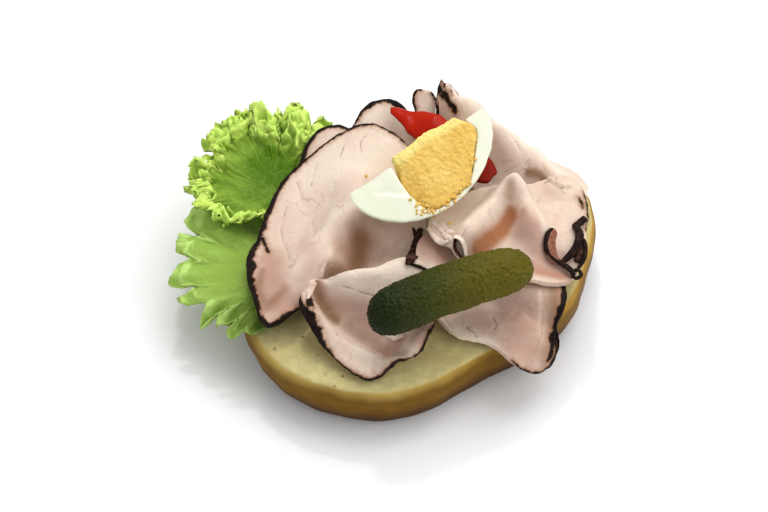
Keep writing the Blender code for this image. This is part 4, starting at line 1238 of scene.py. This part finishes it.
def crumb_places(dice, middle):
    """Where crumbs lie along the yolk's lower edge, on the white beside it and on the pork, and their sizes."""
    surface = surface_of([o.name for o in bpy.data.objects if o.name.startswith(("slice_", "egg_"))])
    spots = []
    for share in np.linspace(0, len(YOLK_EDGE) - 1, EDGE_CRUMBS):
        along, down = (np.interp(share, range(len(YOLK_EDGE)), column) for column in YOLK_EDGE.T)
        spots.append((along + dice.normal(0, 0.7), down + dice.normal(0, 0.9), dice.uniform(0.2, 0.6)))
    for _ in range(SIDE_CRUMBS):
        spots.append((dice.uniform(-10.5, -6.0), dice.uniform(8.5, 14.5), dice.uniform(0.22, 0.5)))
    falls = [(Vector((middle + np.array([along, down, 6.0]) @ EGG_AXES) * MM), Vector(-EGG_AXES[2]), size)
             for along, down, size in spots]
    falls += [(Vector((x * MM, y * MM, ABOVE)), DOWN, size) for x, y, size in LOOSE_CRUMBS]
    places = [(surface.ray_cast(start, way)[0], size) for start, way, size in falls]
    return [(hit, size) for hit, size in places if hit is not None]


def crumbs(look, middle):
    """The yolk's loose crumbs as one piece: copies of one ball, each uneven in its own way."""
    dice = np.random.default_rng(7)
    places = crumb_places(dice, middle)
    bpy.ops.object.select_all(action="DESELECT")
    bpy.ops.mesh.primitive_ico_sphere_add(subdivisions=2, radius=MM)
    piece = bpy.context.view_layer.objects.active
    ball = points_of(piece)
    lumps = [piece] + [duplicate(piece) for _ in places[1:]]
    for lump, (hit, size) in zip(lumps, places):
        stretch = dice.uniform(0.6, 1.35, 3)
        uneven = 1 + 0.35 * rough(ball * 3, 1.6, dice.uniform(0, 40))
        lift = np.array([0, 0, size * 0.15 * MM])
        put_points(lump, ball * size * stretch * uneven[:, None] + np.array(hit) + lift)
    for lump in lumps:
        lump.select_set(True)
    bpy.context.view_layer.objects.active = piece
    bpy.ops.object.join()
    piece.name = "yolk_crumbs"
    piece.data.name = "yolk_crumbs"
    for mark in ("top", "low"):
        write_mark(piece, mark, np.zeros(len(piece.data.vertices)))
    settle(piece, look, "egg_yolk")


class SANDWICH_OT_egg(bpy.types.Operator):
    """Finishes the wedge of boiled egg and its crumbs"""
    bl_idname = "sandwich.egg"
    bl_label = "Egg"

    def execute(self, context):
        sizes, colours = settings(context)
        middle = egg_middle()
        look = yolk_finish(colours)
        finish_white(colours, middle)
        finish_yolk(sizes, look, middle)
        crumbs(look, middle)
        return {"FINISHED"}


# ------------------------------------------------------------------ gherkin and pepper

class SANDWICH_OT_gherkin(bpy.types.Operator):
    """Finishes the pickled gherkin with its warts"""
    bl_idname = "sandwich.gherkin"
    bl_label = "Gherkin"

    def execute(self, context):
        sizes, colours = settings(context)
        low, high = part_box("gherkin")
        piece = copy_of("gherkin", "pickled_gherkin")
        remesh(piece, 0.5 * MM, 4)
        subdivide(piece, 1)
        swell(piece, 8 * MM, 0.8 * MM, middle=0.6)
        swell(piece, 1.0 * MM, sizes.wart, depth=2, middle=0.6)
        keep_within(piece, low, high)
        finish = Finish("pickled_gherkin_skin")
        far = finish.step(finish.axis(0), low.x, high.x)
        warts = finish.cells(1.3 * MM)
        patch = finish.clouds(7 * MM, detail=3)
        # darker towards the left end and paler towards the right, warts too: partly the gherkin's own colour, partly
        # painted shade at the left and painted light at the right
        tones = ((0.0, (0.006, 0.013, 0.0003)), (0.35, colours.gherkin), (0.8, (0.105, 0.088, 0.002)))
        skin = finish.layers(
            finish.node("ShaderNodeValToRGB", {"stops": tones}, {"Fac": far}),
            (finish.step(patch, 0.4, 0.7) * far * 0.5, (0.07, 0.055, 0.003)),
            ((1 - finish.step(warts, 0.1, 0.4)) * (far * 0.35 + 0.04), (0.14, 0.13, 0.015)))
        look = finish.shade(skin, 0.34 + patch * 0.12, finish.bump(1 - warts, 0.6 * MM, 1.0),
                            reflection=0.08, coat=(0.08, 0.12))
        settle(piece, look, "gherkin", "gherkin")
        return {"FINISHED"}


class SANDWICH_OT_pepper(bpy.types.Operator):
    """Finishes the strip of red pepper"""
    bl_idname = "sandwich.pepper"
    bl_label = "Red pepper"

    def execute(self, context):
        colours = context.scene.sandwich_colours
        piece = copy_of("pepper_strip", "red_pepper_strip")
        subdivide(piece, 3)
        swell(piece, 5 * MM, 0.7 * MM)
        put_points(piece, pull(points_of(piece), (((-9.5, 38.5), (-1.6, 1.6, 0.6), 3.0),)))
        keep_within(piece, *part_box("pepper_strip"))
        finish = Finish("red_pepper_skin")
        patch = finish.clouds(5 * MM, detail=3)
        skin = finish.layers(
            colours.pepper,
            (finish.step(patch, 0.4, 0.7) * 0.5, (0.48, 0.018, 0.001)),
            (finish.step(finish.axis(0), 6 * MM, 18 * MM) * 0.85, (0.18, 0.009, 0.003)))
        look = finish.shade(skin, 0.2 + patch * 0.1, finish.bump(finish.clouds(2 * MM), 0.2 * MM, 0.3),
                            reflection=0.08, coat=(0.05, 0.08))
        settle(piece, look, "pepper", "pepper_strip")
        return {"FINISHED"}


# ------------------------------------------------------------------ stage

WORLD_STRENGTH = 0.62
# the area lights: name, place and size in metres, and power in watts
LIGHTS = (("key", (0.14, 0.30, 0.74), 0.6, 3.5), ("fill", (0.60, -0.30, 0.50), 0.7, 1.9),
          ("spark", (-0.05, 0.42, 0.70), 0.05, 0.9))
AIM = Vector((-12.7, 0.1, 19.8)) * MM       # what the camera and the lights look at
CAMERA_RISE = math.radians(50)
CAMERA_AWAY = 0.480


class SANDWICH_OT_stage(bpy.types.Operator):
    """Sets up the floor, the soft lights and the camera"""
    bl_idname = "sandwich.stage"
    bl_label = "Stage"

    def execute(self, context):
        scene = context.scene
        bpy.ops.mesh.primitive_plane_add(size=6.0, location=(0, 0, -0.2 * MM))
        floor = context.active_object
        floor.name = "floor"
        floor.data.materials.append(Finish("pale_floor").shade((0.93, 0.93, 0.93), 0.9))

        scene.world = bpy.data.worlds.new("soft_room")
        scene.world.use_nodes = True
        back = scene.world.node_tree.nodes["Background"]
        back.inputs["Color"].default_value = (1.0, 1.0, 1.0, 1.0)
        back.inputs["Strength"].default_value = WORLD_STRENGTH

        for name, place, size, power in LIGHTS:
            bpy.ops.object.light_add(type="AREA", location=place)
            lamp = context.active_object
            lamp.name = name + "_light"
            lamp.data.size = size
            lamp.data.energy = power
            lamp.rotation_euler = (AIM - Vector(place)).to_track_quat("-Z", "Y").to_euler()

        place = AIM + Vector((0, -math.cos(CAMERA_RISE), math.sin(CAMERA_RISE))) * CAMERA_AWAY
        bpy.ops.object.camera_add(location=place)
        camera = context.active_object
        camera.rotation_euler = (math.radians(90) - CAMERA_RISE, 0, 0)
        camera.data.lens = 72.6
        camera.data.sensor_width = 36
        camera.data.clip_start = 0.01
        scene.camera = camera
        scene.view_settings.view_transform = "Standard"
        scene.view_settings.look = "None"
        return {"FINISHED"}


# ------------------------------------------------------------------ panel

STEPS = (SANDWICH_OT_roll, SANDWICH_OT_lettuce, SANDWICH_OT_pork, SANDWICH_OT_pork_ends, SANDWICH_OT_egg,
         SANDWICH_OT_gherkin, SANDWICH_OT_pepper, SANDWICH_OT_stage)


class SANDWICH_PT_panel(bpy.types.Panel):
    """Lists the sandwich's pieces, sizes and colours"""
    bl_idname = "SANDWICH_PT_panel"
    bl_label = "Open Sandwich"
    bl_space_type = "VIEW_3D"
    bl_region_type = "UI"
    bl_category = "Sandwich"

    def draw(self, context):
        for step in STEPS:
            self.layout.operator(step.bl_idname)
        for group in (context.scene.sandwich_sizes, context.scene.sandwich_colours):
            for key in group.__annotations__:
                self.layout.prop(group, key)


CLASSES = (SandwichSizes, SandwichColours, *STEPS, SANDWICH_PT_panel)


def register():
    for item in CLASSES:
        bpy.utils.register_class(item)
    bpy.types.Scene.sandwich_sizes = PointerProperty(type=SandwichSizes)
    bpy.types.Scene.sandwich_colours = PointerProperty(type=SandwichColours)


def unregister():
    del bpy.types.Scene.sandwich_colours
    del bpy.types.Scene.sandwich_sizes
    for item in reversed(CLASSES):
        bpy.utils.unregister_class(item)


def main():
    register()
    for step in STEPS:
        category, action = step.bl_idname.split(".")
        getattr(getattr(bpy.ops, category), action)()


if __name__ == "__main__":
    main()
